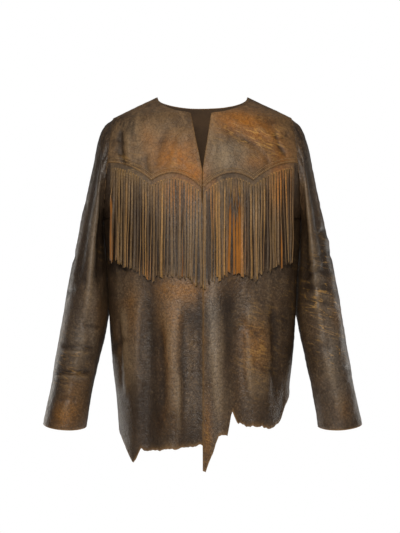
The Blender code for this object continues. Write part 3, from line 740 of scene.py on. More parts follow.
def front_xz(side):
    """x and z of a front's grid, from the raw hem to the shoulder seam."""
    rows_x = []
    rows_z = []
    angle = (pi / 2) * np.arange(FRONT_COLUMNS + 1) / FRONT_COLUMNS
    hem_x = side * np.maximum(side_edge(np.array(FRONT_HEM_Z))[0] * np.sin(angle), HEM_EDGE_X)
    hem_z = raw_hem(hem_x, FRONT_HEM_HEIGHT, FRONT_HEM_X, 3)
    for step in range(SKIRT_STEPS):
        share = step / SKIRT_STEPS
        z = blend(hem_z, UNDERARM_Z, share)
        inner_x = front_edge_x(side, z)
        outer_x = side * side_edge(z)[0]
        rows_x.append(blend(inner_x, outer_x, np.sin(angle)))
        rows_z.append(z)
    for step in range(UPPER_STEPS + 1):
        x, z = upper_row(side, (len(UPPER_ROWS) - 1) * step / UPPER_STEPS, FRONT_COLUMNS)
        rows_x.append(x)
        rows_z.append(z)
    return np.array(rows_x), np.array(rows_z), hem_z


def front_detail(side, x, z, seam_gap):
    """Creases, small waves and seam dips of a front, as a height over its form."""
    height = CREASE_DEPTH * segment_bumps(FRONT_CREASES, x, z, CREASE_COLUMNS, "bow")
    calm = ease((-0.240 - z) / 0.10)
    height += 0.0007 * ripples(x, z * 0.45, 0.050, 11) * (0.4 + 0.6 * calm)
    height += 0.0003 * ripples(x, z, 0.016, 12)
    height += seam_dip(seam_gap, 0.0011, 0.0030)
    return height


def pucker(seam_gap, along, seed):
    """Short gathers that run off a seam."""
    wave = ripples(along, along * 0, 0.016, seed)
    return 0.0012 * wave * np.exp(-((seam_gap / 0.016) ** 2))


def wear_attributes(x, z, relief, edge):
    """What the leather shader reads: worn places, dark places and painted shade, grey bloom and painted highlights,
    relief painted as shade and highlight, and raw edges.
    """
    return {
        "tan": patches(TAN_PATCHES, x, z),
        "dark": patches(DARK_AND_SHADE_PATCHES, x, z),
        "grey": patches(GREY_BLOOM_AND_HIGHLIGHT_PATCHES, x, z),
        "scratch": patches(SCRATCH_PATCHES, x, z),
        "relief": np.clip(relief / 0.003, -1.0, 1.0),
        "edge": edge,
    }


def make_front(side, name, slots, yoke_slots):
    x, z, hem_z = front_xz(side)
    points = torso_points("front_depth", -1, FRONT_FOLDS, side, x, z)
    normals = turned_to(grid_normals(points, False, SKIRT_STEPS, True), (0, -1, 0))
    seam_gap = np.linalg.norm(points - points[:, -1:], axis=-1)
    top_gap = np.linalg.norm(points - points[-1:], axis=-1)
    height = front_detail(side, x, z, np.minimum(seam_gap, top_gap))
    height += pucker(seam_gap, z, 21) * (z > UNDERARM_Z - 0.02)
    hem_gap = np.maximum(z - hem_z[None, :], 0.0)
    curl = 0.0026 * ripples(x, z * 0, 0.045, 31) * np.exp(-((hem_gap / 0.018) ** 2))
    fade = np.minimum(ease(seam_gap / 0.004), ease(top_gap / 0.004))
    lifted = points + normals * ((height + curl) * fade)[..., None]
    spread_seams(lifted, side, -1)
    edge_gap = np.linalg.norm(points - points[:, :1], axis=-1)
    edge = np.maximum(0.7 * np.exp(-hem_gap / 0.004), 0.6 * np.exp(-edge_gap / 0.0020))
    folds = fold_height(FRONT_FOLDS, x, z)
    # Part of the fold heights goes into the relief, which the shader paints as shade in the valleys and highlights on
    # the ridges.
    relief = height + 0.20 * folds
    attributes = wear_attributes(x, z, relief, edge)
    # Painted shade under the fringe: the front there is blended toward its dark places, and its tan and grey are taken
    # out.
    shaded = ease((yoke_edge_z(x) - z) / 0.010) * ease((z - yoke_edge_z(x) + STRAND_LENGTH - 0.004) / 0.020)
    for key, share in (("dark", 1.0), ("tan", 0.0), ("grey", 0.0)):
        attributes[key] = blend(attributes[key], share, shaded * 0.9)
    piece = shell("front_" + name + "_leather", lifted, False, slots, attributes, BODY_WALL, side < 0)
    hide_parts("front_" + name)
    yoke = make_yoke(side, name, yoke_slots)
    return piece, yoke


def spread_seams(points, side, facing):
    """Keep the stitched edges a hair apart, as the solids are."""
    points[:SKIRT_STEPS + 1, -1, 1] = facing * SEAM_HALF_GAP
    points[SKIRT_STEPS:, -1, 0] -= side * SEAM_HALF_GAP
    points[-1, :, 1] = facing * SEAM_HALF_GAP


def yoke_places():
    """Row places of the yoke: close together at its stitched edge, then even."""
    close = [YOKE_ROW + share for share in np.linspace(0.0, 0.62, 24)]
    rest = list(np.linspace(YOKE_ROW + 0.66, len(UPPER_ROWS) - 1, 48))
    return close + rest


def stitched_edge(drop):
    """Height of the yoke near its edge: two sewn channels with a soft welt between them."""
    height = np.zeros_like(drop)
    for row in STITCH_ROWS:
        height -= 0.0007 * np.exp(-(((drop - row) / 0.0011) ** 2))
    welt = sum(STITCH_ROWS) / 2
    height += 0.0005 * np.exp(-(((drop - welt) / 0.0022) ** 2))
    height -= 0.0005 * np.exp(-((drop / 0.0012) ** 2))
    return height


def yoke_drop(x, z):
    """Distance up from the scalloped edge, square to it."""
    step = 0.001
    slope = (yoke_edge_z(x + step) - yoke_edge_z(x - step)) / (2 * step)
    return (z - yoke_edge_z(x)) / np.sqrt(1.0 + slope * slope)


def yoke_surface(side, x, z):
    """Outer face of the yoke with its details, its normals and its relief."""
    points = torso_points("front_depth", -1, FRONT_FOLDS, side, x, z)
    normals = turned_to(grid_normals(points, False, 0, True), (0, -1, 0))
    seam_gap = np.linalg.norm(points - points[:, -1:], axis=-1)
    top_gap = np.linalg.norm(points - points[-1:], axis=-1)
    detail = front_detail(side, x, z, np.minimum(seam_gap, top_gap)) + pucker(seam_gap, z, 21)
    detail = detail * np.minimum(ease(seam_gap / 0.004), ease(top_gap / 0.004))
    stitched = stitched_edge(yoke_drop(x, z))
    height = detail + stitched + LAY_GAP + YOKE_WALL
    return points + normals * height[..., None], normals, detail + 0.3 * stitched


def make_yoke(side, name, slots):
    places = yoke_places()
    grid = [upper_row(side, place, FRONT_COLUMNS) for place in places]
    x = np.array([row[0] for row in grid])
    z = np.array([row[1] for row in grid])
    points, normals, relief = yoke_surface(side, x, z)
    points[:, -1, 0] -= side * SEAM_HALF_GAP
    points[-1, :, 1] = np.minimum(points[-1, :, 1], -SEAM_HALF_GAP)
    drop = z - z[:1]
    edge_gap = np.linalg.norm(points - points[:, :1], axis=-1)
    edge = np.maximum(0.7 * np.exp(-drop / 0.0014), 0.3 * np.exp(-edge_gap / 0.0015))
    # The relief, stitched channels included, is painted by the shader as shade in its troughs and highlights on its
    # ridges.
    attributes = wear_attributes(x, z, relief * 0.9, edge)
    piece = shell("yoke_" + name + "_leather", points, False, slots, attributes, YOKE_WALL, side < 0)
    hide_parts("yoke_" + name)
    return piece


# Row of the upper back, counted from the underarm, that ends at the middle of the neckline
BACK_NECK_ROW = 41


def back_xz(side):
    """x and z of half the back, from the centre back to one side."""
    neck_start = BACK_NECK_ROW / UPPER_STEPS
    angle = (pi / 2) * np.arange(BACK_HALF_COLUMNS + 1) / BACK_HALF_COLUMNS
    hem_x = side * side_edge(np.array(BACK_HEM_Z))[0] * np.sin(angle)
    hem_z = raw_hem(hem_x, BACK_HEM_HEIGHT, BACK_HEM_X, 5)
    rows_x = []
    rows_z = []
    for step in range(SKIRT_STEPS):
        z = blend(hem_z, UNDERARM_Z, step / SKIRT_STEPS)
        rows_x.append(side * side_edge(z)[0] * np.sin(angle))
        rows_z.append(z)
    for step in range(UPPER_STEPS + 1):
        share = step / UPPER_STEPS
        seam_x, seam_z = armhole_xz(share)
        inner_x = 0.0
        inner_z = blend(UNDERARM_Z, BACK_NECK_Z, min(share / neck_start, 1.0))
        if share > neck_start:
            along = (share - neck_start) / (1.0 - neck_start)
            inner_x, inner_z = neckline(1, along, BACK_NECK_Z, 0.0)
        turn = radians(float(np.interp(seam_z, TURN_Z, TURN_ANGLE)))
        across = np.sin(turn * np.arange(BACK_HALF_COLUMNS + 1) / BACK_HALF_COLUMNS) / sin(turn)
        rows_x.append(side * blend(inner_x, seam_x, across))
        rows_z.append(blend(inner_z, seam_z, across))
    return np.array(rows_x), np.array(rows_z), hem_z


def make_back(slots):
    """Both halves of the back, joined along the centre back below the neck."""
    meshes = []
    for side in (1, -1):
        x, z, hem_z = back_xz(side)
        points = torso_points("back_depth", 1, BACK_FOLDS, side, x, z)
        normals = turned_to(grid_normals(points, False, SKIRT_STEPS, True), (0, 1, 0))
        seam_gap = np.linalg.norm(points - points[:, -1:], axis=-1)
        top_gap = np.linalg.norm(points - points[-1:], axis=-1)
        height = CREASE_DEPTH * segment_bumps(BACK_CREASES, x, z, CREASE_COLUMNS, "bow")
        height += 0.0008 * ripples(x, z * 0.45, 0.055, 41) + 0.0003 * ripples(x, z, 0.016, 42)
        height += seam_dip(np.minimum(seam_gap, top_gap), 0.0011, 0.0030)
        height += pucker(seam_gap, z, 43) * (z > UNDERARM_Z - 0.02)
        hem_gap = np.maximum(z - hem_z[None, :], 0.0)
        height += 0.0026 * ripples(x, z * 0, 0.045, 44) * np.exp(-((hem_gap / 0.018) ** 2))
        fade = np.minimum(ease(seam_gap / 0.004), ease(top_gap / 0.004))
        lifted = points + normals * (height * fade)[..., None]
        spread_seams(lifted, side, 1)
        # Part of the fold heights goes into the relief, painted by the shader as shade in valleys and highlights on
        # ridges.
        relief = height + 0.12 * fold_height(BACK_FOLDS, x, z)
        meshes.append((lifted, relief, np.exp(-hem_gap / 0.004), x, z))
    right, left = meshes[1], meshes[0]
    centre_rows = SKIRT_STEPS + BACK_NECK_ROW + 1
    shared = (left[0][:centre_rows, 0] + right[0][:centre_rows, 0]) / 2
    shared[:, 0] = 0.0
    for grid in (left, right):
        grid[0][:centre_rows, 0] = shared
    return join_halves("back_leather", left, right, slots)


def join_halves(name, left, right, slots):
    """One shell from two mirrored grids, welded where their first columns meet."""
    pieces = []
    for part, flip in ((left, True), (right, False)):
        points, relief, edge, x, z = part
        attributes = wear_attributes(x + 5.0, z, relief, edge)
        attributes["tan"] = patches(BACK_TAN, x, z)
        attributes["grey"] = patches(BACK_GREY_BLOOM_AND_HIGHLIGHT, x, z)
        attributes["dark"] = patches(BACK_DARK_AND_SHADE, x, z)
        piece = shell(name, points, False, slots, attributes, BODY_WALL, flip)
        pieces.append(piece)
    whole, other = pieces
    with bpy.context.temp_override(
        active_object=whole, object=whole, selected_objects=pieces, selected_editable_objects=pieces
    ):
        bpy.ops.object.join()
    weld = whole.modifiers.new("centre back", "WELD")
    weld.merge_threshold = 0.00008
    whole.modifiers.move(len(whole.modifiers) - 1, 0)
    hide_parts("back")
    return whole


BACK_TAN = (
    (-0.070, -0.066, 0.080, 0.028, 0.6),
    (-0.120, -0.130, 0.030, 0.050, 0.5),
    (0.104, -0.090, 0.040, 0.046, 0.6),
    (0.040, -0.030, 0.050, 0.020, 0.5),
    (0.030, -0.330, 0.060, 0.050, 0.4),
    (-0.110, -0.500, 0.030, 0.060, 0.8),
    (0.120, -0.560, 0.034, 0.050, 0.7),
    (-0.020, -0.610, 0.040, 0.030, 0.5),
)
# Partly painted highlights down the fold ridges of the back; the broad patch across the upper back is grey bloom.
BACK_GREY_BLOOM_AND_HIGHLIGHT = (
    (-0.056, -0.470, 0.022, 0.160, 0.5),
    (0.050, -0.500, 0.024, 0.150, 0.6),
    (0.000, -0.150, 0.070, 0.060, 0.6),
    (-0.140, -0.300, 0.030, 0.090, 0.5),
)
# Partly painted shade down the fold valleys of the back; the rest darkens the leather toward both hem corners.
BACK_DARK_AND_SHADE = (
    (-0.092, -0.500, 0.016, 0.170, 0.5),
    (0.100, -0.480, 0.018, 0.160, 0.5),
    (-0.006, -0.540, 0.016, 0.130, 0.5),
    (0.170, -0.600, 0.030, 0.050, 0.8),
    (-0.170, -0.640, 0.030, 0.040, 0.9),
)


def sleeve_points(side):
    """Rings of a sleeve, with the share of its length and the angle round it."""
    places = (len(SLEEVE) - 1) * np.arange(SLEEVE_STEPS + 1) / SLEEVE_STEPS
    ring = {
        name: np.array([smooth_row(SLEEVE, at, place) for place in places])
        for at, name in enumerate(SLEEVE_COLUMNS)
    }
    angle = 2 * pi * np.arange(SLEEVE_SIDES) / SLEEVE_SIDES
    middle_x = ((ring["outer_x"] + ring["inner_x"]) / 2)[:, None]
    middle_z = ((ring["outer_z"] + ring["inner_z"]) / 2)[:, None]
    half_x = ((ring["outer_x"] - ring["inner_x"]) / 2)[:, None]
    half_z = ((ring["outer_z"] - ring["inner_z"]) / 2)[:, None]
    x = middle_x + half_x * np.cos(angle)
    off_wrap = (np.degrees(angle) - WRAP_ANGLE) / WRAP_SPREAD
    x = x - ring["wrap"][:, None] * np.exp(-off_wrap * off_wrap)
    y = ring["middle_y"][:, None] - ring["half_depth"][:, None] * np.sin(angle)
    dip = CUFF_DIP * ease((places - CUFF_DIP_START) / (len(SLEEVE) - 1 - CUFF_DIP_START))
    z = middle_z + half_z * np.cos(angle) - dip[:, None] * np.maximum(np.sin(angle), 0.0)
    share = np.repeat((places / places[-1])[:, None], SLEEVE_SIDES, axis=1)
    turn = np.repeat(np.degrees(angle)[None, :], SLEEVE_STEPS + 1, axis=0)
    return np.stack([side * x, y, z], axis=-1), share, turn


SLEEVE_LENGTH = 0.62
SLEEVE_ROUND = 0.34


def sleeve_map(share, turn):
    """The sleeve laid out flat, in metres: along its length and round it."""
    return share * SLEEVE_LENGTH, turn / 360.0 * SLEEVE_ROUND


def sleeve_creases(table, share, turn):
    """Creases given round the sleeve, counted also past the turn's end."""
    total = np.zeros_like(share)
    for shift in (-360.0, 0.0, 360.0):
        lines = []
        for s0, a0, s1, a1, half_width, height in table:
            if s1 != s0 and abs(a1 - a0) > 180:
                a1 = a1 - 360.0 if a1 > a0 else a1 + 360.0
            u0, v0 = sleeve_map(s0, a0 + shift)
            u1, v1 = sleeve_map(s1, a1 + shift)
            lines.append((u0, v0, u1, v1, half_width, height))
        u, v = sleeve_map(share, turn)
        total += segment_bumps(lines, u, v, ("u0", "v0", "u1", "v1", "half_width", "height"))
    return total


def make_sleeve(side, name, slots):
    points, share, turn = sleeve_points(side)
    normals = grid_normals(points, True)
    middle = points.mean(axis=1, keepdims=True)
    if np.sum(normals * (points - middle)) < 0:
        normals = -normals
    own = LEFT_SLEEVE if side > 0 else RIGHT_SLEEVE
    height = CREASE_DEPTH * sleeve_creases(BOTH_SLEEVES + own, share, turn)
    x, y, z = points[..., 0], points[..., 1], points[..., 2]
    height += 0.0009 * ripples(y * 0.8 + x, z * 0.6, 0.050, 51 + side)
    height += 0.0003 * ripples(y + x, z, 0.015, 53 + side)
    seam_gap = share * SLEEVE_LENGTH
    cap = pucker(seam_gap, turn / 360.0 * 0.53, 61 + side)
    cuff_gap = (1.0 - share) * SLEEVE_LENGTH
    height += seam_dip(seam_gap, 0.0016, 0.0040) + cap
    height += -0.0008 * np.exp(-((cuff_gap - 0.004) / 0.002) ** 2)
    fade = ease(seam_gap / 0.003)
    lifted = points + normals * (height * fade)[..., None]
    lifted[0, :, 0] += side * SEAM_HALF_GAP
    front = y < np.median(y)
    edge = np.exp(-cuff_gap / 0.0022)
    # The crease heights are the relief, painted by the shader as shade in troughs and highlights on ridges.
    attributes = wear_attributes(np.where(front, x, x + side * 0.03), z, height, edge)
    piece = shell("sleeve_" + name + "_leather", lifted, True, slots, attributes, BODY_WALL, side < 0)
    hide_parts("sleeve_" + name)
    return piece


def strand_places(side):
    """Both edges of each strand along the yoke edge, an even pitch apart."""
    x = side * np.linspace(STRAND_START_X, STRAND_REACH_X, 401)
    root = torso_points("front_depth", -1, FRONT_FOLDS, side, x, yoke_edge_z(x) - HEADER_HEIGHT)
    steps = np.linalg.norm(np.diff(root[:, :2], axis=0), axis=1)
    run = np.concatenate([[0.0], np.cumsum(steps)])
    middles = run[-1] * (np.arange(STRANDS_PER_SIDE) + 0.5) / STRANDS_PER_SIDE
    edges = [np.interp(middles + offset * STRAND_WIDTH / 2, run, x) for offset in (-1, 1)]
    return np.stack(edges, axis=-1)


def root_frame(side, x):
    """Directions along the leather and out of it at a strand's root, both level."""
    step = 0.004
    z = yoke_edge_z(x) - HEADER_HEIGHT
    limit = float(side_edge(z)[0])
    ends = np.array([max(x - step, -limit), min(x + step, limit)])
    near, far = torso_points("front_depth", -1, FRONT_FOLDS, side, ends, np.array([z, z]))
    along = Vector((far[0] - near[0], far[1] - near[1], 0.0)).normalized()
    return np.array(along) * side, np.array((along.y, -along.x, 0.0))


def front_depth_at(side, x, z):
    return torso_points("front_depth", -1, FRONT_FOLDS, side, np.array(x), np.array(z))


# Strands that turn over and show their napped side: strand number, share of the turn
TURNED_STRANDS = {1: {9: 0.9, 10: 1.0, 11: 1.0, 12: 0.9, 3: 0.5, 21: 0.6, 27: 0.5}, -1: {32: 1.0, 31: 0.6, 25: 0.8, 17: 0.5, 6: 0.5, 12: 0.4}}


WIDE_STRANDS = {(1, 9), (1, 10), (1, 11), (1, 12), (1, 13), (-1, 32), (-1, 31)}


def strand_columns(side, strand, left_x, right_x, draw, lean):
    """Points of one strand, header included: rows down it, columns across it."""
    middle = (left_x + right_x) / 2
    along, out = root_frame(side, middle)
    header_rows = 4
    top_z = float(yoke_edge_z(np.array(middle))) - 0.0006
    low_z = float(yoke_edge_z(np.array(middle))) - HEADER_HEIGHT
    end_z = float(yoke_edge_z(np.array(middle))) - STRAND_LENGTH + draw.normal(0.0, 0.0035)
    root = front_depth_at(side, middle, low_z)
    run_z = np.linspace(low_z, end_z, STRAND_STEPS + 1)
    surface_y = front_depth_at(side, np.full(run_z.shape, middle), run_z)[:, 1]
    hang_y = np.minimum.accumulate(surface_y)
    own_sway = draw.uniform(-1, 1, 3)
    broad = 1.24 if (side, strand) in WIDE_STRANDS else draw.uniform(0.66, 1.08)
    turned = TURNED_STRANDS[side].get(strand, 0.0)
    turn_span = 0.40 if turned > 0.8 else 0.75
    turn_start = 0.02 + 0.06 * (strand % 3) if turned > 0.8 else 0.12
    twist_top = draw.normal(0.0, 0.14)
    twist_low = draw.normal(0.0, 0.45) + turned * pi * (1 if draw.uniform() > 0.5 else -1) * 0.94
    wobble = draw.uniform(0, 2 * pi)
    flare = draw.uniform(0.0, 0.30)
    cut = draw.uniform(-0.0022, 0.0022)
    depth_lane = 0.0007 * (strand % 2) + draw.uniform(0.0, 0.0008)
    rows = []
    edges = []
    worn_edge = draw.uniform(0.10, 0.95)
    for step in range(header_rows):
        z_shift = blend(top_z, low_z, step / header_rows) - low_z
        line = []
        for share in STRAND_COLUMNS:
            x = blend(left_x, right_x, share)
            z = float(yoke_edge_z(np.array(x))) - HEADER_HEIGHT + z_shift
            line.append(front_depth_at(side, x, z) + out * (STRAND_LAY + FRINGE_WALL))
        rows.append(line)
        edges.append([0.0] * len(STRAND_COLUMNS))
    for step in range(STRAND_STEPS + 1):
        share = step / STRAND_STEPS
        slack = share ** 1.3
        sway = lean * slack + 0.0011 * slack * (own_sway[0] + own_sway[1] * sin(share * 5 + wobble))
        sway += 0.0006 * sin(share * 11 + wobble) * own_sway[2]
        lift = depth_lane * slack * 2 + 0.0012 * slack * (1 + sin(share * 4 + wobble * 2))
        twist = twist_top * share + twist_low * float(ease(np.array((share - turn_start) / turn_span)))
        twist += 0.16 * sin(share * 7 + wobble) * share
        half = STRAND_WIDTH / 2 * blend(1.0, broad, min(share * 5, 1.0)) * (1.0 - 0.10 * sin(share * pi) + flare * max(share - 0.9, 0.0) * 10)
        across = along * cos(twist) + out * sin(twist)
        face = out * cos(twist) - along * sin(twist)
        centre = np.array([middle, hang_y[step], run_z[step]]) + along * sway
        centre = centre + out * (STRAND_LAY + FRINGE_WALL / 2 + abs(sin(twist)) * half + lift)
        line = []
        for place in STRAND_COLUMNS:
            point = centre + across * (place - 0.5) * 2 * half + face * FRINGE_WALL / 2
            if step == 0:
                x = blend(left_x, right_x, place)
                z = float(yoke_edge_z(np.array(x))) - HEADER_HEIGHT
                point = front_depth_at(side, x, z) + out * (STRAND_LAY + FRINGE_WALL)
            if step == STRAND_STEPS:
                point = point + np.array([0, 0, cut * (place - 0.5) * 2])
            line.append(point)
        rows.append(line)
        edges.append([worn_edge, 0.3 * worn_edge, 0.0, 0.3 * worn_edge, worn_edge])
    return np.array(rows), np.array(edges), header_rows


def make_fringe(side, name, slots):
    """A header strip cut into strands, as one sheet of leather."""
    draw = np.random.default_rng(70 + side)
    places = strand_places(side)
    numbers = np.arange(STRANDS_PER_SIDE)
    leans = 0.0036 * ripples(numbers * 1.0, numbers * 0.0, 6.0, 80 + side)
    leans += draw.uniform(-0.0017, 0.0017, STRANDS_PER_SIDE)
    tones = 0.5 + 0.24 * ripples(numbers * 1.0, numbers * 0.0, 4.5, 90 + side)
    tones += draw.uniform(-0.42, 0.42, STRANDS_PER_SIDE)
    verts = []
    faces = []
    edge_values = []
    tone_values = []
    columns = len(STRAND_COLUMNS)
    before = None
    for strand, (left_x, right_x) in enumerate(places):
        rows, edges, header_rows = strand_columns(side, strand, left_x, right_x, draw, leans[strand])
        tone = float(np.clip(tones[strand], 0.0, 1.0))
        first = len(verts)
        verts.extend(rows.reshape(-1, 3).tolist())
        edge_values.extend(edges.ravel().tolist())
        tone_shares = np.clip((np.arange(rows.shape[0]) - header_rows + 1) / 5.0, 0.0, 1.0)
        tone_values.extend(np.repeat(blend(0.5, tone, tone_shares), columns).tolist())
        for row in range(rows.shape[0] - 1):
            for column in range(columns - 1):
                a = first + row * columns + column
                faces.append((a, a + columns, a + columns + 1, a + 1))
        if before is not None:
            for row in range(header_rows):
                a = before + row * columns + columns - 1
                b = first + row * columns
                faces.append((a, a + columns, b + columns, b))
        before = first
    if side < 0:
        faces = [face[::-1] for face in faces]
    mesh = bpy.data.meshes.new("fringe_" + name + "_leather")
    mesh.from_pydata(verts, [], faces)
    spots = np.array(verts)
    set_attribute(mesh, "edge", np.array(edge_values))
    set_attribute(mesh, "tone", np.array(tone_values))
    set_attribute(mesh, "relief", np.zeros(len(verts)))
    for key, table in (("tan", FRINGE_TAN), ("grey", FRINGE_GREY), ("scratch", SCRATCH_PATCHES)):
        set_attribute(mesh, key, patches(table, spots[:, 0], spots[:, 2]))
    set_attribute(mesh, "dark", patches(FRINGE_DARK, spots[:, 0], spots[:, 2]))
    for slot in slots:
        mesh.materials.append(slot)
    mesh.shade_smooth()
    piece = bpy.data.objects.new("fringe_" + name + "_leather", mesh)
    bpy.context.scene.collection.objects.link(piece)
    thicken(piece, FRINGE_WALL)
    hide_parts("fringe_" + name)
    return piece


STITCH_PITCH = 0.0036
STITCH_HALF = 0.00135
THREAD_HALF = 0.00042


def stitch_template():
    """A short loop of thread: rings along it, pinched at both ends."""
    rings = ((-1.0, 0.35), (-0.7, 0.9), (0.0, 1.0), (0.7, 0.9), (1.0, 0.35))
    sides = 6
    points = [
        (run * STITCH_HALF, THREAD_HALF * size * cos(2 * pi * k / sides), THREAD_HALF * size * sin(2 * pi * k / sides))
        for run, size in rings
        for k in range(sides)
    ]
    faces = []
    for ring in range(len(rings) - 1):
        for k in range(sides):
            n = (k + 1) % sides
            faces.append((ring * sides + k, ring * sides + n, (ring + 1) * sides + n, (ring + 1) * sides + k))
    faces.append(tuple(range(sides))[::-1])
    faces.append(tuple(range((len(rings) - 1) * sides, len(rings) * sides)))
    return np.array(points), faces


def make_stitches(side, name, material):
    """Two rows of stitches above the scalloped edge of a yoke."""
    template, template_faces = stitch_template()
    verts = []
    faces = []
    for drop in STITCH_ROWS:
        x = side * np.linspace(0.003, 0.1935, 900)
        step = 0.0005
        slope = (yoke_edge_z(x + step) - yoke_edge_z(x - step)) / (2 * step)
        size = np.sqrt(1.0 + slope * slope)
        line_x = x - slope / size * drop
        line_z = yoke_edge_z(x) + drop / size
        line_x = side * np.maximum(side * line_x, 0.002)
        keep = (side * line_x) < side_edge(line_z)[0] - 0.003
        line_x, line_z = line_x[keep], line_z[keep]
        base = torso_points("front_depth", -1, FRONT_FOLDS, side, line_x, line_z)
        near = 0.0008
        over = torso_points("front_depth", -1, FRONT_FOLDS, side, line_x, line_z + near) - base
        aside = torso_points("front_depth", -1, FRONT_FOLDS, side, line_x - side * near, line_z) - base
        out = np.cross(aside, over) * side
        out = out / np.linalg.norm(out, axis=1, keepdims=True)
        out = np.where(out[:, 1:2] > 0, -out, out)
        far = np.full(line_x.shape, 0.05)
        detail = front_detail(side, line_x, line_z, far) + stitched_edge(np.full(line_x.shape, drop))
        detail += pucker(np.maximum(side_edge(line_z)[0] - np.abs(line_x), 0.0), line_z, 21)
        track = base + out * (LAY_GAP + YOKE_WALL + detail + THREAD_HALF * 0.55)[:, None]
        run = np.concatenate([[0.0], np.cumsum(np.linalg.norm(np.diff(track, axis=0), axis=1))])
        for middle in np.arange(STITCH_PITCH, run[-1] - STITCH_PITCH / 2, STITCH_PITCH):
            ends = [np.array([np.interp(middle + shift, run, track[:, axis]) for axis in range(3)]) for shift in (-0.001, 0, 0.001)]
            along = ends[2] - ends[0]
            along = along / np.linalg.norm(along)
            up = np.array([np.interp(middle, run, out[:, axis]) for axis in range(3)])
            cross = np.cross(up, along)
            cross = cross / np.linalg.norm(cross)
            up = np.cross(along, cross)
            placed = ends[1] + template @ np.stack([along, cross, up])
            first = len(verts)
            verts.extend(placed.tolist())
            faces.extend([tuple(first + corner for corner in face) for face in template_faces])
    mesh = bpy.data.meshes.new("stitches_" + name)
    mesh.from_pydata(verts, [], faces)
    mesh.materials.append(material)
    mesh.shade_smooth()
    piece = bpy.data.objects.new("stitches_" + name, mesh)
    bpy.context.scene.collection.objects.link(piece)
    return piece


def add_node(tree, kind, inputs=None, **settings):
    """A shader node with its settings; each input is a value or another node's output."""
    made = tree.nodes.new(kind)
    for key, value in settings.items():
        setattr(made, key, value)
    for key, value in (inputs or {}).items():
        if isinstance(value, bpy.types.NodeSocket):
            tree.links.new(value, made.inputs[key])
        else:
            made.inputs[key].default_value = value
    return made


def attribute(tree, name):
    return add_node(tree, "ShaderNodeAttribute", attribute_name=name).outputs["Fac"]


def noise(tree, where, scale, detail=3.0, roughness=0.55, distortion=0.0):
    inputs = {"Vector": where, "Scale": scale, "Detail": detail, "Roughness": roughness, "Distortion": distortion}
    return add_node(tree, "ShaderNodeTexNoise", inputs).outputs["Fac"]


def remap(tree, value, low, high, to_low=0.0, to_high=1.0):
    inputs = {"Value": value, "From Min": low, "From Max": high, "To Min": to_low, "To Max": to_high}
    return add_node(tree, "ShaderNodeMapRange", inputs, interpolation_type="SMOOTHSTEP").outputs["Result"]


def calc(tree, operation, first, second, clamp=False):
    made = add_node(tree, "ShaderNodeMath", None, operation=operation, use_clamp=clamp)
    for at, value in enumerate((first, second)):
        if isinstance(value, bpy.types.NodeSocket):
            tree.links.new(value, made.inputs[at])
        else:
            made.inputs[at].default_value = value
    return made.outputs[0]


def tint(tree, share, first, second, mode="MIX"):
    made = add_node(tree, "ShaderNodeMix", None, data_type="RGBA", blend_type=mode)
    for at, value in ((0, share), (6, first), (7, second)):
        if isinstance(value, bpy.types.NodeSocket):
            tree.links.new(value, made.inputs[at])
        else:
            made.inputs[at].default_value = value
    return made.outputs[2]


def srgb(red, green, blue):
    """A colour given as the 0 to 255 values seen on screen, as linear light."""
    parts = []
    for level in (red, green, blue):
        level = level / 255.0
        parts.append(level / 12.92 if level <= 0.04045 else ((level + 0.055) / 1.055) ** 2.4)
    return (*parts, 1.0)


def new_material(name):
    material = bpy.data.materials.new(name)
    material.use_nodes = True
    tree = material.node_tree
    shader = tree.nodes["Principled BSDF"]
    where = add_node(tree, "ShaderNodeTexCoord").outputs["Object"]
    return material, tree, shader, where


def stretched(tree, where, scale):
    return add_node(tree, "ShaderNodeMapping", {"Vector": where, "Scale": scale}).outputs["Vector"]


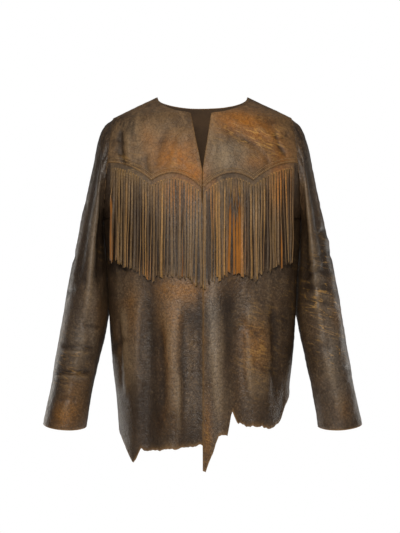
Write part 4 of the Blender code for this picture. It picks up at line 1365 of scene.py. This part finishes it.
def leather_colour(tree, where, look):
    """Distressed leather: mottled browns, grey bloom and painted highlights, tan wear, painted shade in troughs and
    dark places, painted highlights on ridges, pale edges.
    """
    broad = noise(tree, where, 8.0, 4.0, 0.62, 0.8)
    streaks = noise(tree, stretched(tree, where, (1.0, 1.0, 0.20)), 55.0, 4.0, 0.60, 0.3)
    mottle = noise(tree, where, 34.0, 7.0, 0.72, 0.5)
    speck = noise(tree, where, 230.0, 4.0, 0.75)
    colour = tint(tree, remap(tree, broad, 0.28, 0.60), look["deep"], look["brown"])
    colour = tint(tree, remap(tree, streaks, 0.46, 0.74, 0.0, 0.60), colour, look["bloom"])
    # Grey patches: grey bloom, and painted highlights on fold ridges and down the sleeves.
    grey = calc(tree, "MULTIPLY", attribute(tree, "grey"), remap(tree, streaks, 0.30, 0.62, 0.45, 1.0))
    colour = tint(tree, calc(tree, "MULTIPLY", grey, 0.72), colour, look["grey"])
    worn = calc(tree, "ADD", attribute(tree, "tan"), remap(tree, broad, 0.55, 0.80, 0.0, 0.30))
    worn = calc(tree, "MULTIPLY", worn, remap(tree, mottle, 0.30, 0.60, 0.58, 1.0), True)
    colour = tint(tree, calc(tree, "MULTIPLY", worn, 0.88), colour, look["tan"])
    # Painted shade in the troughs of the relief and painted highlights on its ridges, broken by the grain specks.
    relief = attribute(tree, "relief")
    trough_shade = remap(tree, relief, -0.95, -0.08, 0.72, 0.0)
    colour = tint(tree, trough_shade, colour, look["deep"])
    ridge_highlight_and_speck = calc(tree, "MULTIPLY", remap(tree, relief, 0.15, 1.0, 0.0, 0.55), remap(tree, speck, 0.30, 0.65, 0.4, 1.0))
    colour = tint(tree, ridge_highlight_and_speck, colour, look["ridge_highlight_and_speck"])
    colour = tint(tree, remap(tree, speck, 0.40, 0.66, 0.0, look["speckle"]), colour, look["pores"])
    colour = tint(tree, remap(tree, speck, 0.46, 0.30, 0.0, look["speckle"] * 0.6), colour, look["ridge_highlight_and_speck"])
    # Dark patches: darker leather, and painted shade in fold valleys, beside and on the sleeves and under the fringe.
    dark = calc(tree, "MULTIPLY", attribute(tree, "dark"), remap(tree, mottle, 0.30, 0.70, 1.0, 0.60))
    colour = tint(tree, calc(tree, "MULTIPLY", dark, 0.85), colour, look["deep"])
    edge = calc(tree, "MULTIPLY", attribute(tree, "edge"), remap(tree, mottle, 0.25, 0.60, 0.45, 1.0))
    colour = tint(tree, edge, colour, look["edge"])
    return colour, mottle, speck


def leather_bump(tree, where, strength):
    """Pebbled grain, fine cracks and shallow wrinkles."""
    grain = add_node(tree, "ShaderNodeTexVoronoi", {"Vector": where, "Scale": 520.0, "Randomness": 1.0})
    cracks = add_node(
        tree,
        "ShaderNodeTexVoronoi",
        {"Vector": add_warp(tree, where, 0.006, 60.0), "Scale": 95.0},
        feature="DISTANCE_TO_EDGE",
    )
    crack = remap(tree, cracks.outputs["Distance"], 0.0, 0.10)
    wrinkles = noise(tree, where, 130.0, 5.0, 0.7, 1.2)
    first = add_node(
        tree, "ShaderNodeBump", {"Height": wrinkles, "Distance": 0.0016, "Strength": strength}
    )
    second = add_node(
        tree, "ShaderNodeBump",
        {"Height": crack, "Distance": 0.0005, "Strength": strength * 0.8, "Normal": first.outputs["Normal"]},
    )
    third = add_node(
        tree, "ShaderNodeBump",
        {"Height": grain.outputs["Distance"], "Distance": 0.0006, "Strength": strength * 0.9,
         "Normal": second.outputs["Normal"]},
    )
    return third.outputs["Normal"], crack


def scratches(tree, where, colour, line_colour):
    """Long pale creases and rub lines, slanting down to the wearer's left."""
    slanted = add_node(
        tree, "ShaderNodeMapping",
        {"Vector": add_warp(tree, where, 0.0030, 26.0), "Rotation": (0.0, radians(20.0), 0.0), "Scale": (1.0, 1.0, 0.14)},
        vector_type="TEXTURE",
    ).outputs["Vector"]
    lines = noise(tree, slanted, 13.0, 2.0, 0.5)
    off_line = calc(tree, "ABSOLUTE", calc(tree, "SUBTRACT", lines, 0.5), 0.0)
    thin = remap(tree, off_line, 0.004, 0.030, 1.0, 0.0)
    broken = remap(tree, noise(tree, where, 46.0, 3.0, 0.6), 0.40, 0.56)
    share = calc(tree, "MULTIPLY", calc(tree, "MULTIPLY", thin, broken), attribute(tree, "scratch"))
    return tint(tree, calc(tree, "MULTIPLY", share, 0.50), colour, line_colour)


def add_warp(tree, where, size, scale):
    """Push coordinates about by a coloured noise."""
    wander = add_node(tree, "ShaderNodeTexNoise", {"Vector": where, "Scale": scale, "Detail": 2.0})
    centred = add_node(tree, "ShaderNodeVectorMath", None, operation="SUBTRACT")
    tree.links.new(wander.outputs["Color"], centred.inputs[0])
    centred.inputs[1].default_value = (0.5, 0.5, 0.5)
    scaled = add_node(tree, "ShaderNodeVectorMath", None, operation="SCALE")
    tree.links.new(centred.outputs[0], scaled.inputs[0])
    scaled.inputs["Scale"].default_value = size * 2
    moved = add_node(tree, "ShaderNodeVectorMath", None, operation="ADD")
    tree.links.new(where, moved.inputs[0])
    tree.links.new(scaled.outputs[0], moved.inputs[1])
    return moved.outputs[0]


def grain_leather(name, look, roughness, specular, strands=False):
    material, tree, shader, where = new_material(name)
    colour, mottle, speck = leather_colour(tree, where, look)
    if strands:
        tone = attribute(tree, "tone")
        colour = tint(tree, remap(tree, tone, 0.0, 0.50, 0.82, 0.0), colour, look["deep"])
        colour = tint(tree, remap(tree, tone, 0.70, 1.0, 0.0, 0.50), colour, look["gold"])
    normal, crack = leather_bump(tree, where, 0.50)
    colour = tint(tree, remap(tree, crack, 0.0, 1.0, 0.25, 0.0), colour, look["deep"])
    colour = scratches(tree, where, colour, look["scratch"])
    shine = calc(tree, "ADD", remap(tree, mottle, 0.3, 0.7, roughness - 0.07, roughness + 0.10), 0.0)
    tree.links.new(colour, shader.inputs["Base Color"])
    tree.links.new(shine, shader.inputs["Roughness"])
    tree.links.new(normal, shader.inputs["Normal"])
    shader.inputs["Specular IOR Level"].default_value = specular
    return material


def nap_leather(name, dark, light):
    """The flesh side and cut edges: matt, fibrous and paler."""
    material, tree, shader, where = new_material(name)
    broad = noise(tree, where, 12.0, 3.0, 0.6)
    fibre = noise(tree, where, 700.0, 4.0, 0.7)
    colour = tint(tree, remap(tree, broad, 0.3, 0.7), dark, light)
    colour = tint(tree, remap(tree, fibre, 0.3, 0.7, 0.0, 0.45), colour, dark)
    bump = add_node(tree, "ShaderNodeBump", {"Height": fibre, "Distance": 0.0006, "Strength": 0.5})
    tree.links.new(colour, shader.inputs["Base Color"])
    tree.links.new(bump.outputs["Normal"], shader.inputs["Normal"])
    shader.inputs["Roughness"].default_value = 0.92
    shader.inputs["Specular IOR Level"].default_value = 0.2
    shader.inputs["Sheen Weight"].default_value = 0.1
    shader.inputs["Sheen Roughness"].default_value = 0.6
    return material


def thread_material():
    material, tree, shader, where = new_material("waxed_thread")
    twist = noise(tree, where, 900.0, 2.0)
    colour = tint(tree, twist, srgb(104, 80, 50), srgb(168, 140, 98))
    tree.links.new(colour, shader.inputs["Base Color"])
    shader.inputs["Roughness"].default_value = 0.6
    return material


# The ridge colour is a painted highlight on raised relief and also the colour of pale grain specks; the deep colour is
# also painted shade in troughs, dark patches and under the fringe.
BODY_LOOK = {
    "deep": srgb(34, 25, 18),
    "brown": srgb(76, 59, 42),
    "bloom": srgb(94, 78, 60),
    "grey": srgb(112, 101, 88),
    "tan": srgb(130, 86, 30),
    "ridge_highlight_and_speck": srgb(132, 110, 82),
    "pores": srgb(34, 25, 18),
    "edge": srgb(138, 104, 62),
    "scratch": srgb(184, 140, 72),
    "speckle": 0.60,
}
YOKE_LOOK = dict(
    BODY_LOOK,
    speckle=0.34,
    brown=srgb(101, 77, 50),
    bloom=srgb(124, 98, 68),
    grey=srgb(134, 116, 92),
    tan=srgb(152, 94, 28),
)
FRINGE_LOOK = {
    "deep": srgb(44, 33, 23),
    "brown": srgb(88, 69, 47),
    "bloom": srgb(108, 90, 66),
    "grey": srgb(122, 108, 92),
    "tan": srgb(180, 108, 28),
    "ridge_highlight_and_speck": srgb(140, 116, 82),
    "pores": srgb(54, 41, 29),
    "edge": srgb(172, 132, 70),
    "gold": srgb(166, 122, 58),
    "scratch": srgb(176, 142, 88),
    "speckle": 0.50,
}


FLOOR_Z = -1.15
FLOOR_RADIUS = 0.8


def make_floor():
    """A plain white floor under the hanging jacket."""
    corners = 96
    verts = [
        (FLOOR_RADIUS * cos(2 * pi * k / corners), FLOOR_RADIUS * sin(2 * pi * k / corners), FLOOR_Z)
        for k in range(corners)
    ]
    mesh = bpy.data.meshes.new("studio_floor")
    mesh.from_pydata(verts, [], [tuple(range(corners))])
    material, tree, shader, where = new_material("studio_paper")
    shader.inputs["Base Color"].default_value = (0.80, 0.80, 0.80, 1.0)
    shader.inputs["Roughness"].default_value = 1.0
    shader.inputs["Emission Color"].default_value = (1.0, 1.0, 1.0, 1.0)
    shader.inputs["Emission Strength"].default_value = 0.90
    mesh.materials.append(material)
    piece = bpy.data.objects.new("studio_floor", mesh)
    bpy.context.scene.collection.objects.link(piece)


def area_light(name, place, target, size, energy, colour=(1.0, 1.0, 1.0)):
    data = bpy.data.lights.new(name, "AREA")
    data.shape = "RECTANGLE"
    data.size, data.size_y = size
    data.energy = energy
    data.color = colour
    lamp = bpy.data.objects.new(name, data)
    lamp.location = place
    lamp.rotation_euler = (Vector(target) - Vector(place)).to_track_quat("-Z", "Y").to_euler()
    bpy.context.scene.collection.objects.link(lamp)


# Light of the room on the jacket, as a share of the white that shows behind it
ROOM_LIGHT = 0.15

PIXEL_SIZE = 0.00205
VIEW_HEIGHT = 533
CAMERA_DISTANCE = 2.60
SUBJECT_DEPTH = 0.06
CAMERA_X = -0.005
CAMERA_Z = -0.325
SENSOR = 36.0


def make_camera():
    data = bpy.data.cameras.new("camera")
    data.sensor_width = SENSOR
    data.lens = SENSOR * (CAMERA_DISTANCE - SUBJECT_DEPTH) / (PIXEL_SIZE * VIEW_HEIGHT)
    camera = bpy.data.objects.new("camera", data)
    camera.location = (CAMERA_X, -CAMERA_DISTANCE, CAMERA_Z)
    camera.rotation_euler = (pi / 2, 0.0, 0.0)
    bpy.context.scene.collection.objects.link(camera)
    bpy.context.scene.camera = camera


def make_lights():
    scene = bpy.context.scene
    world = bpy.data.worlds.new("studio")
    world.use_nodes = True
    tree = world.node_tree
    background = tree.nodes["Background"]
    background.inputs["Color"].default_value = (1.0, 1.0, 1.0, 1.0)
    seen = add_node(tree, "ShaderNodeLightPath").outputs["Is Camera Ray"]
    tree.links.new(remap(tree, seen, 0.0, 1.0, ROOM_LIGHT, 1.0), background.inputs["Strength"])
    scene.world = world
    scene.view_settings.view_transform = "Standard"
    warm = (1.0, 0.95, 0.88)
    middle = (0.0, 0.0, -0.3)
    area_light("key", (-0.12, -2.50, 0.40), middle, (0.50, 0.70), 63.0, warm)
    area_light("front_left", (-1.9, -1.5, 0.3), middle, (0.7, 1.4), 5.0, warm)
    area_light("front_right", (2.0, -1.3, 0.1), middle, (0.7, 1.4), 5.0, warm)
    area_light("back_left", (-2.0, 1.6, -0.6), middle, (1.1, 1.3), 16.0, warm)
    area_light("back_right", (2.1, 1.5, -0.7), middle, (1.1, 1.3), 14.0, warm)
    area_light("top", (0.0, 0.2, 1.5), (0.0, 0.0, -0.1), (1.2, 0.8), 3.0)


make_camera()
grain = grain_leather("distressed_leather", BODY_LOOK, 0.38, 0.28)
yoke_grain = grain_leather("yoke_leather", YOKE_LOOK, 0.47, 0.22)
strand_grain = grain_leather("fringe_leather", FRINGE_LOOK, 0.56, 0.30, True)
nap = nap_leather("flesh_side", srgb(60, 45, 31), srgb(88, 67, 46))
cut_edge = nap_leather("cut_edge", srgb(104, 78, 50), srgb(142, 110, 70))
strand_nap = nap_leather("strand_nap", srgb(104, 64, 20), srgb(146, 92, 30))
thread = thread_material()

body_slots = (grain, nap, cut_edge)
yoke_slots = (yoke_grain, nap, cut_edge)
fringe_slots = (strand_grain, strand_nap, cut_edge)

pieces = []
for side_sign, side_name in ((1, "left"), (-1, "right")):
    front, yoke = make_front(side_sign, side_name, body_slots, yoke_slots)
    sleeve = make_sleeve(side_sign, side_name, body_slots)
    fringe = make_fringe(side_sign, side_name, fringe_slots)
    stitches = make_stitches(side_sign, side_name, thread)
    pieces.extend((front, yoke, sleeve, fringe, stitches))
back = make_back(body_slots)
pieces.append(back)
for piece in pieces:
    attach(piece, "root")

make_floor()
make_lights()
